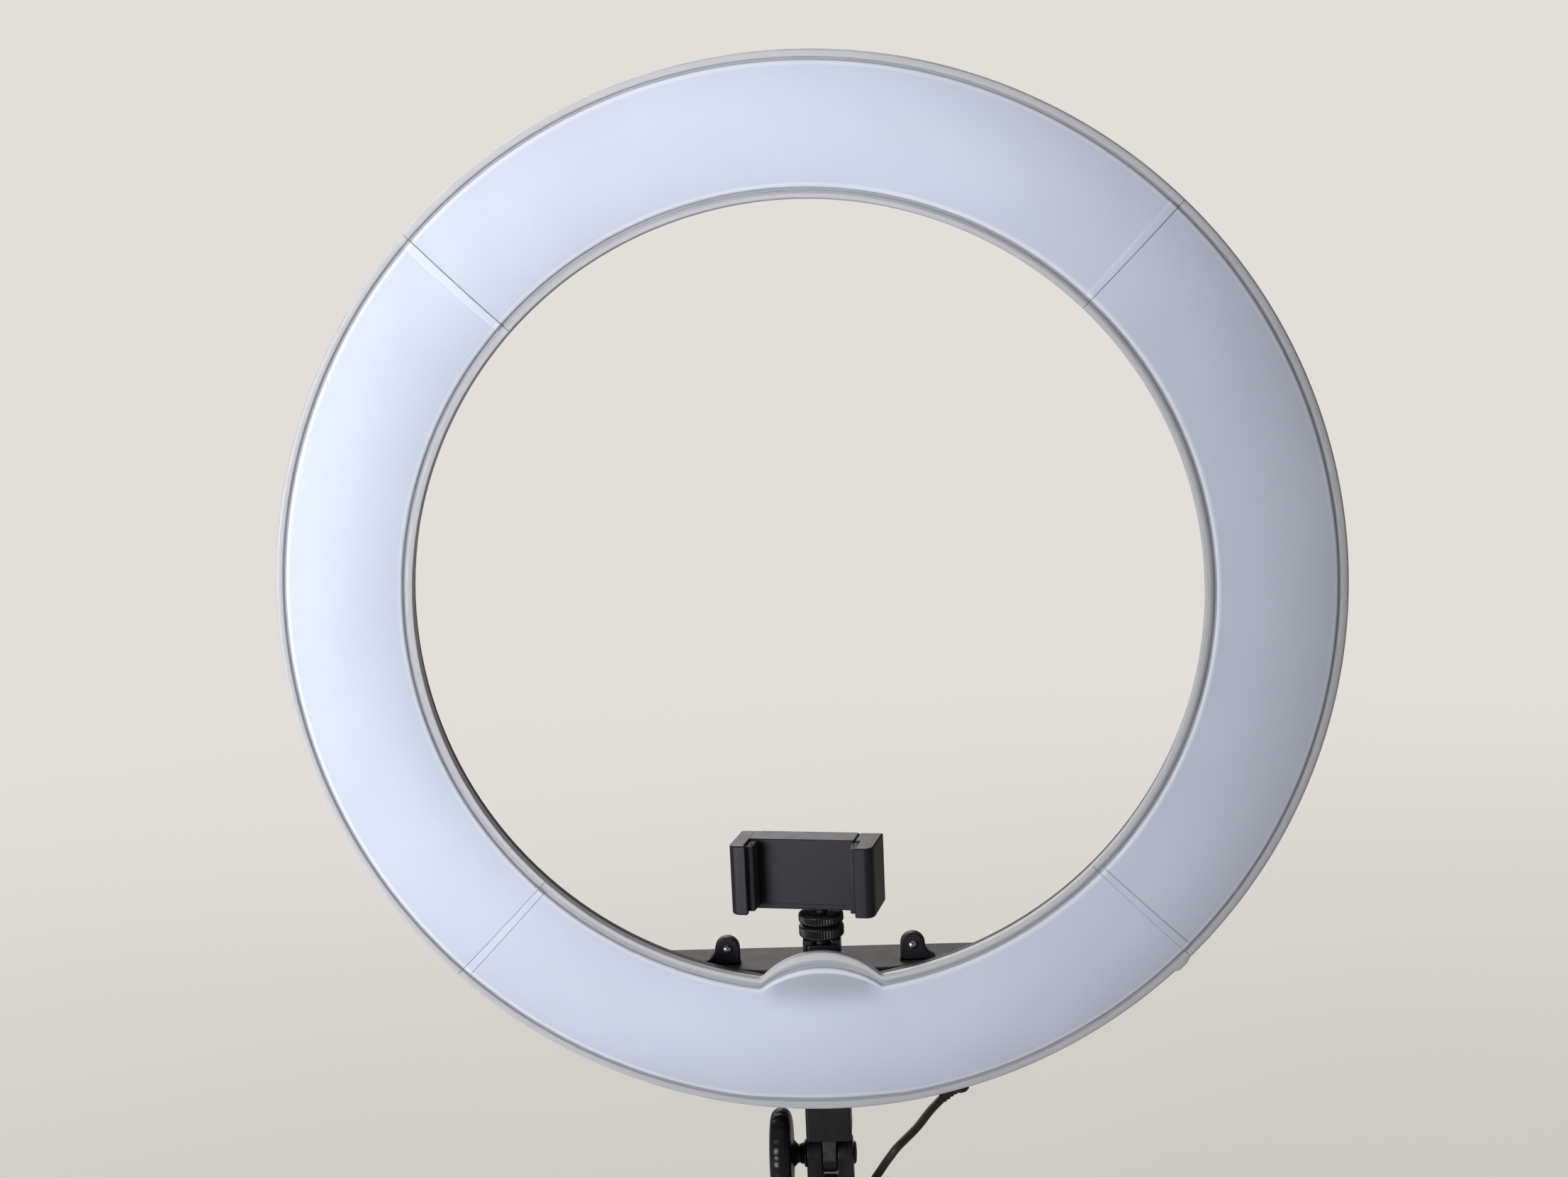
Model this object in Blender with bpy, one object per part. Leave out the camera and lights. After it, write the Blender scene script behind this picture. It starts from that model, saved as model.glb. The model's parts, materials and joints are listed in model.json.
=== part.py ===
"""Eighteen-inch LED ring light head on a tilting stand adapter, with a sprung phone holder.

Lengths in this file are millimetres; add_object() turns them into Blender's metres.
The world origin is the flat ceiling of the stand socket, where the top of a stand's spigot rests.
+Z is up, -Y is the side that shines, +X is to the right for someone facing the light.
The lamp head is laid out in ring coordinates: their origin is the centre of the ring, in the plane
of its face, and an empty carries them to their place above the socket.
"""

import math

import bmesh
import bpy
from mathutils import Vector

MM = 0.001

# Driving dimensions
RING_RADIUS = 240.0          # outside of the ring
HOLE_RADIUS = 177.2          # open middle of the ring
RING_Y = -15.0               # the face plane stands this far in front of the stand's axis
RING_Z = 300.0               # centre of the ring above the socket's ceiling
PIVOT_Z = 31.0               # tilt axis above the socket's ceiling
SPIGOT_BORE = 8.25           # radius, for a 16 mm stand spigot
SOCKET_DEPTH = 38.0
STUD_Y = 18.0                # phone holder's stud behind the face plane
HOLDER_Z = -147.2            # underside of the phone holder
HOLDER_YAW = math.radians(-10.0)
SHELF_Z = -175.5             # flat top of the control box
BOX_BACK_Y = 46.0            # rear face of the control box
SHELL_BACK_Y = 26.0          # rear face of the ring's shell
LOCK_Z = -7.0                # lock screw below the socket's ceiling
ROCKER_TILT = math.radians(8.0)
GAP = 0.3                    # clearance between neighbouring pieces
THROUGH = 3.0                # how far a cutter reaches beyond the wall it opens
RING_STEPS = 56

AXES = {"X": (1, 2, 0), "Y": (0, 2, 1), "Z": (0, 1, 2)}

FINISHES = {
    # name: (sRGB colour, roughness, metallic)
    "filter_white": ((221, 226, 236), 0.45, 0.0),
    "opal_white": ((235, 238, 242), 0.35, 0.0),
    "shell_grey": ((84, 83, 82), 0.55, 0.0),
    "pad_grey": ((196, 198, 200), 0.5, 0.0),
    "black_plastic": ((38, 36, 42), 0.4, 0.0),
    "black_metal": ((32, 28, 32), 0.35, 0.6),
    "black_rubber": ((28, 27, 30), 0.8, 0.0),
    "cable_jacket": ((58, 48, 43), 0.6, 0.0),
    "bright_steel": ((190, 192, 196), 0.25, 1.0),
    "brass": ((190, 160, 96), 0.35, 1.0),
    "aluminium": ((180, 183, 188), 0.4, 1.0),
    "board_white": ((225, 228, 228), 0.5, 0.0),
    "board_green": ((38, 92, 58), 0.5, 0.0),
    "spring_steel": ((150, 152, 156), 0.3, 1.0),
}


# ---- building blocks ---------------------------------------------------------------------------

def clear_scene():
    for obj in list(bpy.data.objects):
        bpy.data.objects.remove(obj)


def linear(channel):
    value = channel / 255.0
    if value <= 0.04045:
        return value / 12.92
    return ((value + 0.055) / 1.055) ** 2.4


def finish(name):
    """The Principled BSDF material of one finish, made the first time it is asked for."""
    found = bpy.data.materials.get(name)
    if found:
        return found
    colour, roughness, metallic = FINISHES[name]
    made = bpy.data.materials.new(name)
    made.use_nodes = True
    shader = made.node_tree.nodes["Principled BSDF"]
    shader.inputs["Base Color"].default_value = (*[linear(c) for c in colour], 1.0)
    shader.inputs["Roughness"].default_value = roughness
    shader.inputs["Metallic"].default_value = metallic
    return made


def add_empty(name, parent=None, at=(0, 0, 0), turn=(0, 0, 0)):
    empty = bpy.data.objects.new(name, None)
    bpy.context.collection.objects.link(empty)
    empty.parent = parent
    empty.location = Vector(at) * MM
    empty.rotation_euler = turn
    return empty


def add_object(name, shape, look, parent=None, at=(0, 0, 0), turn=(0, 0, 0)):
    """One named piece from a bmesh in millimetres."""
    bmesh.ops.scale(shape, vec=(MM, MM, MM), verts=shape.verts)
    bmesh.ops.recalc_face_normals(shape, faces=shape.faces)
    mesh = bpy.data.meshes.new(name)
    shape.to_mesh(mesh)
    shape.free()
    mesh.shade_smooth()
    mesh.set_sharp_from_angle(angle=math.radians(35))
    mesh.materials.append(finish(look))
    obj = bpy.data.objects.new(name, mesh)
    bpy.context.collection.objects.link(obj)
    obj.parent = parent
    obj.location = Vector(at) * MM
    obj.rotation_euler = turn
    return obj


def combine(target, name, tool, operation):
    """Cuts or joins a bmesh tool, given in the target's own coordinates."""
    helper = add_object(name, tool, "bright_steel")
    helper.parent = target
    helper.hide_render = True
    helper.display_type = "WIRE"
    change = target.modifiers.new(name, "BOOLEAN")
    change.operation = operation
    change.object = helper
    change.solver = "EXACT"
    return target


def cut(target, *tools):
    for number, tool in enumerate(tools, 1):
        combine(target, f"{target.name}_cut_{number}", tool, "DIFFERENCE")


def join(target, *tools):
    for number, tool in enumerate(tools, 1):
        combine(target, f"{target.name}_join_{number}", tool, "UNION")


def placed(axis, across, up, along):
    """A point from two coordinates across an axis and one along it."""
    point = [0.0, 0.0, 0.0]
    first, second, third = AXES[axis]
    point[first], point[second], point[third] = across, up, along
    return point


def turned(profile, axis="Z", steps=24, start=0.0, sweep=math.tau, centre=(0, 0, 0)):
    """Turns a closed outline of (radius, height) points about an axis; radius 0 is on the axis."""
    shape = bmesh.new()
    full = abs(sweep - math.tau) < 1e-6
    stations = steps if full else steps + 1
    columns = []
    for radius, height in profile:
        if radius < 1e-6 and full:
            pole = shape.verts.new(placed(axis, 0.0, 0.0, height))
            columns.append([pole] * stations)
            continue
        column = []
        for index in range(stations):
            angle = start + sweep * index / steps
            point = placed(axis, radius * math.cos(angle), radius * math.sin(angle), height)
            column.append(shape.verts.new(point))
        columns.append(column)
    for index in range(steps):
        following = (index + 1) % stations
        for here, there in zip(columns, columns[1:] + columns[:1]):
            corners = [here[index], there[index], there[following], here[following]]
            corners = list(dict.fromkeys(corners))
            if len(corners) > 2:
                shape.faces.new(corners)
    if not full:
        shape.faces.new([column[0] for column in columns])
        shape.faces.new([column[-1] for column in columns])
    bmesh.ops.translate(shape, vec=centre, verts=shape.verts)
    return shape


def rod(radius, low, high, axis="Z", steps=16, centre=(0, 0, 0)):
    return turned([(0, low), (radius, low), (radius, high), (0, high)], axis, steps, centre=centre)


def hexagon(radius, low, high, axis="Z"):
    return rod(radius, low, high, axis, 6)


def tube(inner, outer, low, high, axis="Z", steps=24, centre=(0, 0, 0)):
    outline = [(inner, low), (outer, low), (outer, high), (inner, high)]
    return turned(outline, axis, steps, centre=centre)


def prism(outline, axis, low, high):
    """A flat outline of (across, up) points carried along an axis."""
    shape = bmesh.new()
    near = [shape.verts.new(placed(axis, *point, low)) for point in outline]
    far = [shape.verts.new(placed(axis, *point, high)) for point in outline]
    shape.faces.new(near)
    shape.faces.new(far)
    for index in range(len(outline)):
        following = (index + 1) % len(outline)
        shape.faces.new([near[index], near[following], far[following], far[index]])
    return shape


def block(x, y, z):
    """A box from three (low, high) pairs."""
    outline = [(x[0], y[0]), (x[1], y[0]), (x[1], y[1]), (x[0], y[1])]
    return prism(outline, "Z", *z)


def arc(centre, radius, first, last, steps):
    """Points along an arc, angles in degrees."""
    points = []
    for index in range(steps + 1):
        angle = math.radians(first + (last - first) * index / steps)
        points.append((centre[0] + radius * math.cos(angle), centre[1] + radius * math.sin(angle)))
    return points


def together(*shapes):
    """Several separate shapes in one bmesh, for one cut."""
    whole = bmesh.new()
    for shape in shapes:
        mesh = bpy.data.meshes.new("part")
        shape.to_mesh(mesh)
        shape.free()
        whole.from_mesh(mesh)
        bpy.data.meshes.remove(mesh)
    return whole


def smooth_path(points, steps):
    """A Catmull-Rom curve through the points."""
    points = [Vector(point) for point in points]
    points = [2 * points[0] - points[1]] + points + [2 * points[-1] - points[-2]]
    path = []
    for a, b, c, d in zip(points, points[1:], points[2:], points[3:]):
        for index in range(steps):
            t = index / steps
            bend = 2 * a - 5 * b + 4 * c - d
            twist = 3 * b - a - 3 * c + d
            path.append(0.5 * (2 * b + (c - a) * t + bend * t ** 2 + twist * t ** 3))
    path.append(points[-2])
    return path


def swept(path, radius, sides):
    """A round bar along a path, with flat ends."""
    shape = bmesh.new()
    path = [Vector(point) for point in path]
    rings = []
    across = None
    for index, point in enumerate(path):
        before = path[max(index - 1, 0)]
        after = path[min(index + 1, len(path) - 1)]
        ahead = (after - before).normalized()
        if across is None:
            across = ahead.orthogonal().normalized()
        across = (across - ahead * across.dot(ahead)).normalized()
        beside = ahead.cross(across)
        ring = []
        for side in range(sides):
            angle = math.tau * side / sides
            offset = across * math.cos(angle) + beside * math.sin(angle)
            ring.append(shape.verts.new(point + offset * radius))
        rings.append(ring)
    shape.faces.new(rings[0])
    shape.faces.new(rings[-1])
    for near, far in zip(rings, rings[1:]):
        for side in range(sides):
            following = (side + 1) % sides
            shape.faces.new([near[side], near[following], far[following], far[side]])
    return shape


def pan_screw(head_radius, head_height, shank_radius, length, steps=12):
    """A screw along -Z from its head, which sits above z = 0, as a turned outline."""
    outline = [(0, head_height), (head_radius * 0.7, head_height), (head_radius, head_height * 0.45),
               (head_radius, 0), (shank_radius, 0), (shank_radius, -length), (0, -length)]
    return turned(outline, "Z", steps)


# ---- the ring ----------------------------------------------------------------------------------

SHELL_OUTER = RING_RADIUS - 2.0
SHELL_INNER = HOLE_RADIUS + 1.8
SHELL_WALL = 1.8
SHELL_FRONT_Y = 1.0
SHELL_TAPER = 11.0           # how far the inner side leans outwards towards the back
SHELL_CHAMFER = 6.0          # same, on the outer side
BOARD_RADII = (190.0, 230.0)
BOARD_Y = (13.8, 15.4)
SCREW_HOLE = 1.9             # radius of a clearance hole for the 3 mm screws


def shell_outside():
    """Outer line of the rear shell's section, front outside round the back to front inside."""
    return [(SHELL_OUTER, SHELL_FRONT_Y), (SHELL_OUTER, 16.0),
            (SHELL_OUTER - SHELL_CHAMFER, SHELL_BACK_Y), (SHELL_INNER + SHELL_TAPER, SHELL_BACK_Y),
            (SHELL_INNER, 12.0), (SHELL_INNER, SHELL_FRONT_Y)]


def rear_shell(head):
    """A trough that closes the ring from behind; a rib inside it carries the heat spreader."""
    rib_inner, rib_outer, rib_top = 206.0, 210.0, 17.0
    floor_y = SHELL_BACK_Y - SHELL_WALL
    inside = [(SHELL_INNER + SHELL_WALL, SHELL_FRONT_Y), (SHELL_INNER + SHELL_WALL, 11.3),
              (SHELL_INNER + SHELL_TAPER + 1.0, floor_y), (rib_inner, floor_y),
              (rib_inner, rib_top), (rib_outer, rib_top), (rib_outer, floor_y),
              (SHELL_OUTER - SHELL_CHAMFER - 1.0, floor_y), (SHELL_OUTER - SHELL_WALL, 15.4),
              (SHELL_OUTER - SHELL_WALL, SHELL_FRONT_Y)]
    shell = add_object("rear_shell", turned(shell_outside() + inside, "Y", RING_STEPS),
                       "shell_grey", head)
    holes = [rod(SCREW_HOLE, floor_y - THROUGH, SHELL_BACK_Y + THROUGH, "Y", 12, (x, 0, z))
             for x, z in BOX_SCREWS]
    cut(shell, together(*holes))


def diffuser_panel(head):
    """Opal sheet behind the filters; it spreads the light of the LEDs."""
    panel = tube(SHELL_INNER + SHELL_WALL + 0.4, SHELL_OUTER - SHELL_WALL - 0.4, 1.5, 3.0,
                 "Y", RING_STEPS)
    add_object("diffuser_panel", panel, "opal_white", head)


def heat_spreader(head):
    """Thin sheet between the boards and the shell's rib."""
    inner, outer, front = BOARD_RADII[0] - 3.5, BOARD_RADII[1] + 3.0, BOARD_Y[1] + GAP
    sheet = tube(inner, outer, front, front + 1.0, "Y", RING_STEPS)
    add_object("heat_spreader", sheet, "aluminium", head)


SIDES = {"right": -45, "top": 45, "left": 135, "bottom": 225}


def led_boards(head):
    """Four curved boards on the heat spreader."""
    for side, first in SIDES.items():
        section = [(BOARD_RADII[0], BOARD_Y[0]), (BOARD_RADII[1], BOARD_Y[0]),
                   (BOARD_RADII[1], BOARD_Y[1]), (BOARD_RADII[0], BOARD_Y[1])]
        board = turned(section, "Y", 16, math.radians(first + 0.5), math.radians(89))
        add_object(f"led_board_{side}", board, "board_white", head)


INNER_LIP_Y = 1.4            # how far back the filter reaches in the ring's hole
OUTER_LIP_Y = 9.0            # same, round the outside of the shell


def filter_section():
    """Section of a clip-on filter: domed skin, groove by each rim, and lips that wrap the shell."""
    skin = [(235.2, -2.6), (222.0, -3.9), (208.6, -4.4), (195.0, -3.9), (182.0, -2.6)]
    outer_rim = [(SHELL_OUTER + GAP, OUTER_LIP_Y), (RING_RADIUS, OUTER_LIP_Y), (RING_RADIUS, -1.5),
                 (239.0, -2.5), (236.6, -2.5), (236.4, -1.3), (235.6, -1.3)]
    inner_rim = [(181.6, -1.3), (180.8, -1.3), (180.6, -2.5), (178.2, -2.5), (HOLE_RADIUS, -1.5),
                 (HOLE_RADIUS, INNER_LIP_Y), (SHELL_INNER - GAP, INNER_LIP_Y)]
    underside = [(SHELL_INNER - GAP, 0.6), (182.0, -0.2), (208.6, -2.4), (235.0, -0.2),
                 (SHELL_OUTER + GAP, 0.6)]
    return outer_rim + skin + inner_rim + underside


LOBE_PEAK_Z = -163.1
LOBE_RADIUS = 38.0
LOBE_WALL = 1.6


def lobe_outline(inset, foot_radius):
    """The bulge of the lower filter towards the middle of the ring, closed along its inner rim."""
    radius = LOBE_RADIUS - inset
    drop = LOBE_RADIUS - LOBE_PEAK_Z
    cosine = (radius ** 2 + drop ** 2 - foot_radius ** 2) / (2 * radius * drop)
    half = math.degrees(math.acos(cosine))
    upper = arc((0.0, -drop), radius, 90 - half, 90 + half, 12)
    side = math.degrees(math.asin(upper[0][0] / foot_radius))
    return upper + arc((0, 0), foot_radius, 270 - side, 270 + side, 8)[1:-1]


def filters(head):
    """Four quarter-ring filters, parted at the diagonals; the lower one has the lobe."""
    seam = 0.05              # degrees left open at each end
    for side, first in SIDES.items():
        quarter = turned(filter_section(), "Y", RING_STEPS // 4, math.radians(first + seam),
                         math.radians(90 - 2 * seam))
        piece = add_object(f"filter_{side}", quarter, "filter_white", head)
        if side == "bottom":
            join(piece, prism(lobe_outline(0, HOLE_RADIUS + 1.0), "Y", -2.3, INNER_LIP_Y - 0.1))
            pocket = prism(lobe_outline(LOBE_WALL, HOLE_RADIUS - GAP), "Y", 0.2, THROUGH)
            cut(piece, pocket)


# ---- the control box and what it holds ----------------------------------------------------------

BOX_WALL = 2.0
BOX_FRONT_Y = 10.5
BOX_HALF_WIDTH = 108.0
BOX_RADIUS = 236.0
BOX_SCREWS = [(-88.0, -196.0), (88.0, -196.0), (-20.0, -222.0), (20.0, -222.0)]
DIMMER = (45.0, -206.0)
SWITCH = (-45.0, -206.0)
JACK_X = 63.0
JACK_Y = 36.0
SHOE_SCREWS_Y = (14.5, 24.0)
SHOE_SCREW_HOLE = 1.7
BUSH_RADIUS = 4.6            # dimmer's threaded bush
ROCKER_Y = 43.0              # pivot of the power switch's rocker


def box_outline(inset):
    """Straight top, leaning shoulders, and an underside that follows the ring."""
    top = SHELF_Z - inset
    half = BOX_HALF_WIDTH - inset
    radius = BOX_RADIUS - inset
    side = math.degrees(math.asin(half / radius))
    shoulder = [(half, -190.0), (half - 16.0, top), (-half + 16.0, top), (-half, -190.0)]
    return arc((0, 0), radius, 270 - side, 270 + side, 20) + shoulder


def ring_envelope():
    """The rear shell's outside, grown by the clearance, as a cutter."""
    grown = [(SHELL_OUTER + GAP, 1.0), (SHELL_OUTER + GAP, 16.1),
             (SHELL_OUTER - SHELL_CHAMFER + GAP, SHELL_BACK_Y + GAP),
             (SHELL_INNER + SHELL_TAPER - GAP, SHELL_BACK_Y + GAP), (SHELL_INNER - GAP, 11.9),
             (SHELL_INNER - GAP, 1.0)]
    return turned(grown, "Y", RING_STEPS)


def control_box(head):
    """Rear cover for the electronics, open towards the ring, with a flat shelf on top."""
    solid = prism(box_outline(0), "Y", BOX_FRONT_Y, BOX_BACK_Y)
    box = add_object("control_box", solid, "shell_grey", head)
    cut(box, prism(box_outline(BOX_WALL), "Y", 20.0, BOX_BACK_Y - BOX_WALL), ring_envelope())
    bosses = [rod(4.0, 26.5, BOX_BACK_Y - 1.0, "Y", 12, (x, 0, z)) for x, z in BOX_SCREWS]
    join(box, together(*bosses))
    back = (BOX_BACK_Y - 8.0, BOX_BACK_Y + THROUGH)
    holes = [rod(SCREW_HOLE, 20.0, back[1], "Y", 12, (x, 0, z)) for x, z in BOX_SCREWS]
    holes.append(rod(BUSH_RADIUS + GAP, *back, "Y", 16, (DIMMER[0], 0, DIMMER[1])))
    holes.append(block((SWITCH[0] - 9.6, SWITCH[0] + 9.6), back, (SWITCH[1] - 6.6, SWITCH[1] + 6.6)))
    holes.append(rod(4.4, -240.0, -215.0, "Z", 16, (JACK_X, JACK_Y, 0)))
    holes += [rod(SHOE_SCREW_HOLE, SHELF_Z - 5.5, SHELF_Z + 5.5, "Z", 12, (0, y, 0))
              for y in SHOE_SCREWS_Y]
    holes += [rod(SCREW_HOLE, -240.0, -231.0, "Z", 12, (x, BRACKET_SCREW_Y, 0))
              for x in BRACKET_SCREWS_X]
    combine(box, "control_box_holes", together(*holes), "DIFFERENCE")


def box_screws(head):
    """Pan heads on the rear face; the shanks reach through the bosses into the shell."""
    for number, (x, z) in enumerate(BOX_SCREWS, 1):
        screw = pan_screw(3.4, 2.2, 1.5, 21.6)
        add_object(f"box_screw_{number}", screw, "bright_steel", head,
                   (x, BOX_BACK_Y + GAP, z), (-math.pi / 2, 0, 0))


def driver_board(head):
    add_object("driver_board", block((-74, 32), (29.0, 30.6), (-217, -187)), "board_green", head)


def dimmer(head):
    """Potentiometer with its bush through the wall, the shaft it turns, and the knob."""
    x, z = DIMMER
    body = [(0, 32.5), (8.5, 32.5), (8.5, 43.5), (BUSH_RADIUS, 43.5), (BUSH_RADIUS, 48.0),
            (3.3, 48.0), (3.3, 38.0), (0, 38.0)]
    add_object("potentiometer", turned(body, "Y", 20), "aluminium", head, (x, 0, z))
    add_object("dimmer_shaft", rod(3.0, 38.4, 57.0, "Y", 16), "bright_steel", head, (x, 0, z))
    cap = [(3.3, 48.6), (9.2, 46.6), (9.5, 48.0), (8.6, 58.6), (7.6, 59.4), (0, 59.4),
           (0, 57.4), (3.3, 57.4)]
    knob = add_object("dimmer_knob", turned(cap, "Y", 28), "black_plastic", head, (x, 0, z))
    pointer = block((-0.6, 0.6), (48.5, 59.7), (4.5, 9.4))
    join(knob, pointer)


def power_switch(head):
    """Rocker switch: a housing clipped in the wall, and the rocker that tips inside it."""
    x, z = SWITCH
    flange = block((-10.6, 10.6), (BOX_BACK_Y + GAP, BOX_BACK_Y + 1.8), (-7.6, 7.6))
    housing = add_object("switch_housing", flange, "black_plastic", head, (x, 0, z))
    join(housing, block((-9.2, 9.2), (33.5, BOX_BACK_Y + 1.0), (-6.2, 6.2)))
    cut(housing, block((-7.9, 7.9), (37.0, BOX_BACK_Y + THROUGH), (-4.9, 4.9)))
    face = [(-6.9, -2.5), (6.9, -2.5), (6.9, 4.9), (0.0, 3.9), (-6.9, 4.9)]
    add_object("power_rocker", prism(face, "Z", -4.5, 4.5), "black_plastic", head,
               (x, ROCKER_Y, z), (0, 0, -ROCKER_TILT))


def dc_jack(head):
    """Power socket in the box's underside, mouth down."""
    jack = add_object("dc_jack", block((-6, 6), (-5.5, 5.5), (-222, -209)), "black_plastic", head,
                      (JACK_X, JACK_Y, 0))
    join(jack, rod(4.1, -228.0, -221.0, "Z", 16))
    cut(jack, rod(2.9, -230.0, -214.0, "Z", 16))


def lugs(head):
    """Two upright ears on the shelf, each with a bright pin through it."""
    crown_z, half_width, thickness_y = -167.4, 5.8, (19.0, 24.0)
    foot_z = SHELF_Z + GAP
    for side, sign, x in (("left", -1, -45.0), ("right", 1, 42.5)):
        crown = arc((0, crown_z), half_width, 0, 180, 8)
        foot = [(-half_width, foot_z), (10.5, foot_z), (10.5, foot_z + 2.0),
                (half_width, foot_z + 5.0)]
        if sign < 0:
            crown = [(-across, up) for across, up in crown]
            foot = [(-across, up) for across, up in foot]
        lug = add_object(f"lug_{side}", prism(crown + foot, "Y", *thickness_y), "black_plastic",
                         head, (x, 0, 0))
        cut(lug, rod(1.7, 15.0, 28.0, "Y", 12, (0, 0, crown_z)))
        pin = [(0, -1.6), (1.3, -1.5), (2.2, -0.7), (2.2, 0), (1.4, 0), (1.4, 6.5), (0, 6.5)]
        add_object(f"lug_pin_{side}", turned(pin, "Y", 12), "bright_steel", head,
                   (x, thickness_y[0] - GAP, crown_z))


# ---- shoe, adapter and phone holder --------------------------------------------------------------

SHOE_BASE_Z = -172.6
SHOE_HEAD_Z = -170.6         # seat of the sunk screw heads
NUT_RADIUS = 10.6


def shoe(head):
    """A light pad on the shelf with a black shoe channel screwed on it."""
    y = (11.8, 28.5)
    pad_outline = [(-13.0, SHELF_Z + GAP), (13.0, SHELF_Z + GAP), (9.4, SHOE_BASE_Z - GAP),
                   (-9.4, SHOE_BASE_Z - GAP)]
    pad = add_object("shoe_pad", prism(pad_outline, "Y", *y), "pad_grey", head)
    screw_holes = [rod(SHOE_SCREW_HOLE, SHELF_Z - THROUGH, -165.0, "Z", 12, (0, at, 0))
                   for at in SHOE_SCREWS_Y]
    cut(pad, together(*screw_holes))

    half, wall, floor_z, top_z, lip = 8.8, 1.6, -168.6, -162.0, 2.6
    inner = half - wall
    channel = [(-half, SHOE_BASE_Z), (half, SHOE_BASE_Z), (half, top_z), (inner - lip, top_z),
               (inner - lip, top_z - 2.0), (inner, top_z - 2.0), (inner, floor_z),
               (-inner, floor_z), (-inner, top_z - 2.0), (-inner + lip, top_z - 2.0),
               (-inner + lip, top_z), (-half, top_z)]
    rail = add_object("cold_shoe", prism(channel, "Y", y[0] - 0.3, y[1] - 1.0), "black_metal", head)
    drilled = [rod(SHOE_SCREW_HOLE, SHOE_BASE_Z - THROUGH, -160.0, "Z", 12, (0, at, 0))
               for at in SHOE_SCREWS_Y]
    sunk = [rod(3.0, SHOE_HEAD_Z - GAP, -160.0, "Z", 12, (0, at, 0)) for at in SHOE_SCREWS_Y]
    cut(rail, together(*drilled), together(*sunk))
    for name, at in zip(("front", "rear"), SHOE_SCREWS_Y):
        add_object(f"shoe_screw_{name}", pan_screw(2.7, 1.6, 1.4, 8.4), "bright_steel", head,
                   (0, at, SHOE_HEAD_Z))


def shoe_adapter(head):
    """Foot that slides in the shoe, a quarter-inch stud on it, and two knurled nuts."""
    foot = add_object("shoe_foot", block((-6.9, 6.9), (-6.5, 6.5), (-168.1, -164.4)),
                      "black_metal", head, (0, STUD_Y, 0))
    join(foot, rod(4.2, -165.0, -161.8, "Z", 16), rod(3.0, -162.5, HOLDER_Z + 6.0, "Z", 16))
    for name, low, high in (("lower_nut", -161.4, -155.1), ("upper_nut", -154.6, -149.4)):
        rim = 1.2
        section = [(3.3, low), (NUT_RADIUS - rim, low), (NUT_RADIUS, low + rim),
                   (NUT_RADIUS, high - rim), (NUT_RADIUS - rim, high), (3.3, high)]
        add_object(name, turned(section, "Z", 24), "black_metal", head, (0, STUD_Y, 0))


HOLDER_HEIGHT = 34.0
HOLDER_LEFT = -31.0          # inner end of the fixed jaw
HOLDER_RIGHT = 18.5          # end of the housing, where the sliding jaw begins
BACK_Y = (-6.0, 8.0)         # front and rear of the holder's back
JAW_LEFT = -38.5
JAW_RIGHT = 29.5
JAW_FACE = 21.2              # inner face of the sliding jaw, behind its pad
JAW_TIP_Y = -20.0
JAW_Z = (0.8, HOLDER_HEIGHT)
PAD_Y = (-16.9, -6.5)
PAD_THICK = 3.6
ROD_Z = (12.5, 27.0)
ROD_Y = 1.5
SPRING_Z = 19.7
SPRING_LEFT = -20.0


def holder_housing(holder):
    """Fixed half: a hollow back with the left jaw."""
    back = block((HOLDER_LEFT - 1.0, HOLDER_RIGHT), BACK_Y, (0, HOLDER_HEIGHT))
    housing = add_object("holder_housing", back, "black_plastic", holder)
    lip = HOLDER_LEFT + 0.8
    jaw_outline = [(JAW_LEFT, JAW_TIP_Y + 3.4), (JAW_LEFT + 2.7, JAW_TIP_Y), (lip, JAW_TIP_Y),
                   (lip, JAW_TIP_Y + 2.4), (HOLDER_LEFT, JAW_TIP_Y + 2.7), (HOLDER_LEFT, BACK_Y[1]),
                   (JAW_LEFT, BACK_Y[1])]
    join(housing, prism(jaw_outline, "Z", *JAW_Z))
    cavity = block((-24.0, HOLDER_RIGHT + 8.0), (-2.5, 12.0), (9.5, HOLDER_HEIGHT - 3.5))
    cut(housing, cavity, rod(3.4, -5.0, 8.0, "Z", 16))
    combine(housing, "holder_housing_pocket", hexagon(6.0, 1.6, 7.0), "DIFFERENCE")
    combine(housing, "holder_housing_mouth", hexagon(6.0, -3.0, 2.0), "DIFFERENCE")
    cover = block((HOLDER_LEFT + 0.5, HOLDER_RIGHT), (BACK_Y[1] + GAP, BACK_Y[1] + 2.0),
                  (0.5, HOLDER_HEIGHT - 0.5))
    add_object("holder_cover", cover, "black_plastic", holder)


def holder_insert(holder):
    """Hexagonal brass nut for the stud, pressed in the housing's underside."""
    nut = add_object("holder_insert", hexagon(5.6, 0.4, 6.6), "brass", holder)
    cut(nut, rod(3.3, -2.0, 9.0, "Z", 16))


def jaw_pads(holder, jaw):
    z = (2.0, HOLDER_HEIGHT - 1.0)
    left = block((HOLDER_LEFT + GAP, HOLDER_LEFT + PAD_THICK), PAD_Y, z)
    add_object("jaw_pad_left", left, "black_rubber", holder)
    right = block((JAW_FACE - PAD_THICK, JAW_FACE - GAP), PAD_Y, z)
    add_object("jaw_pad_right", right, "black_rubber", jaw)


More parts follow.
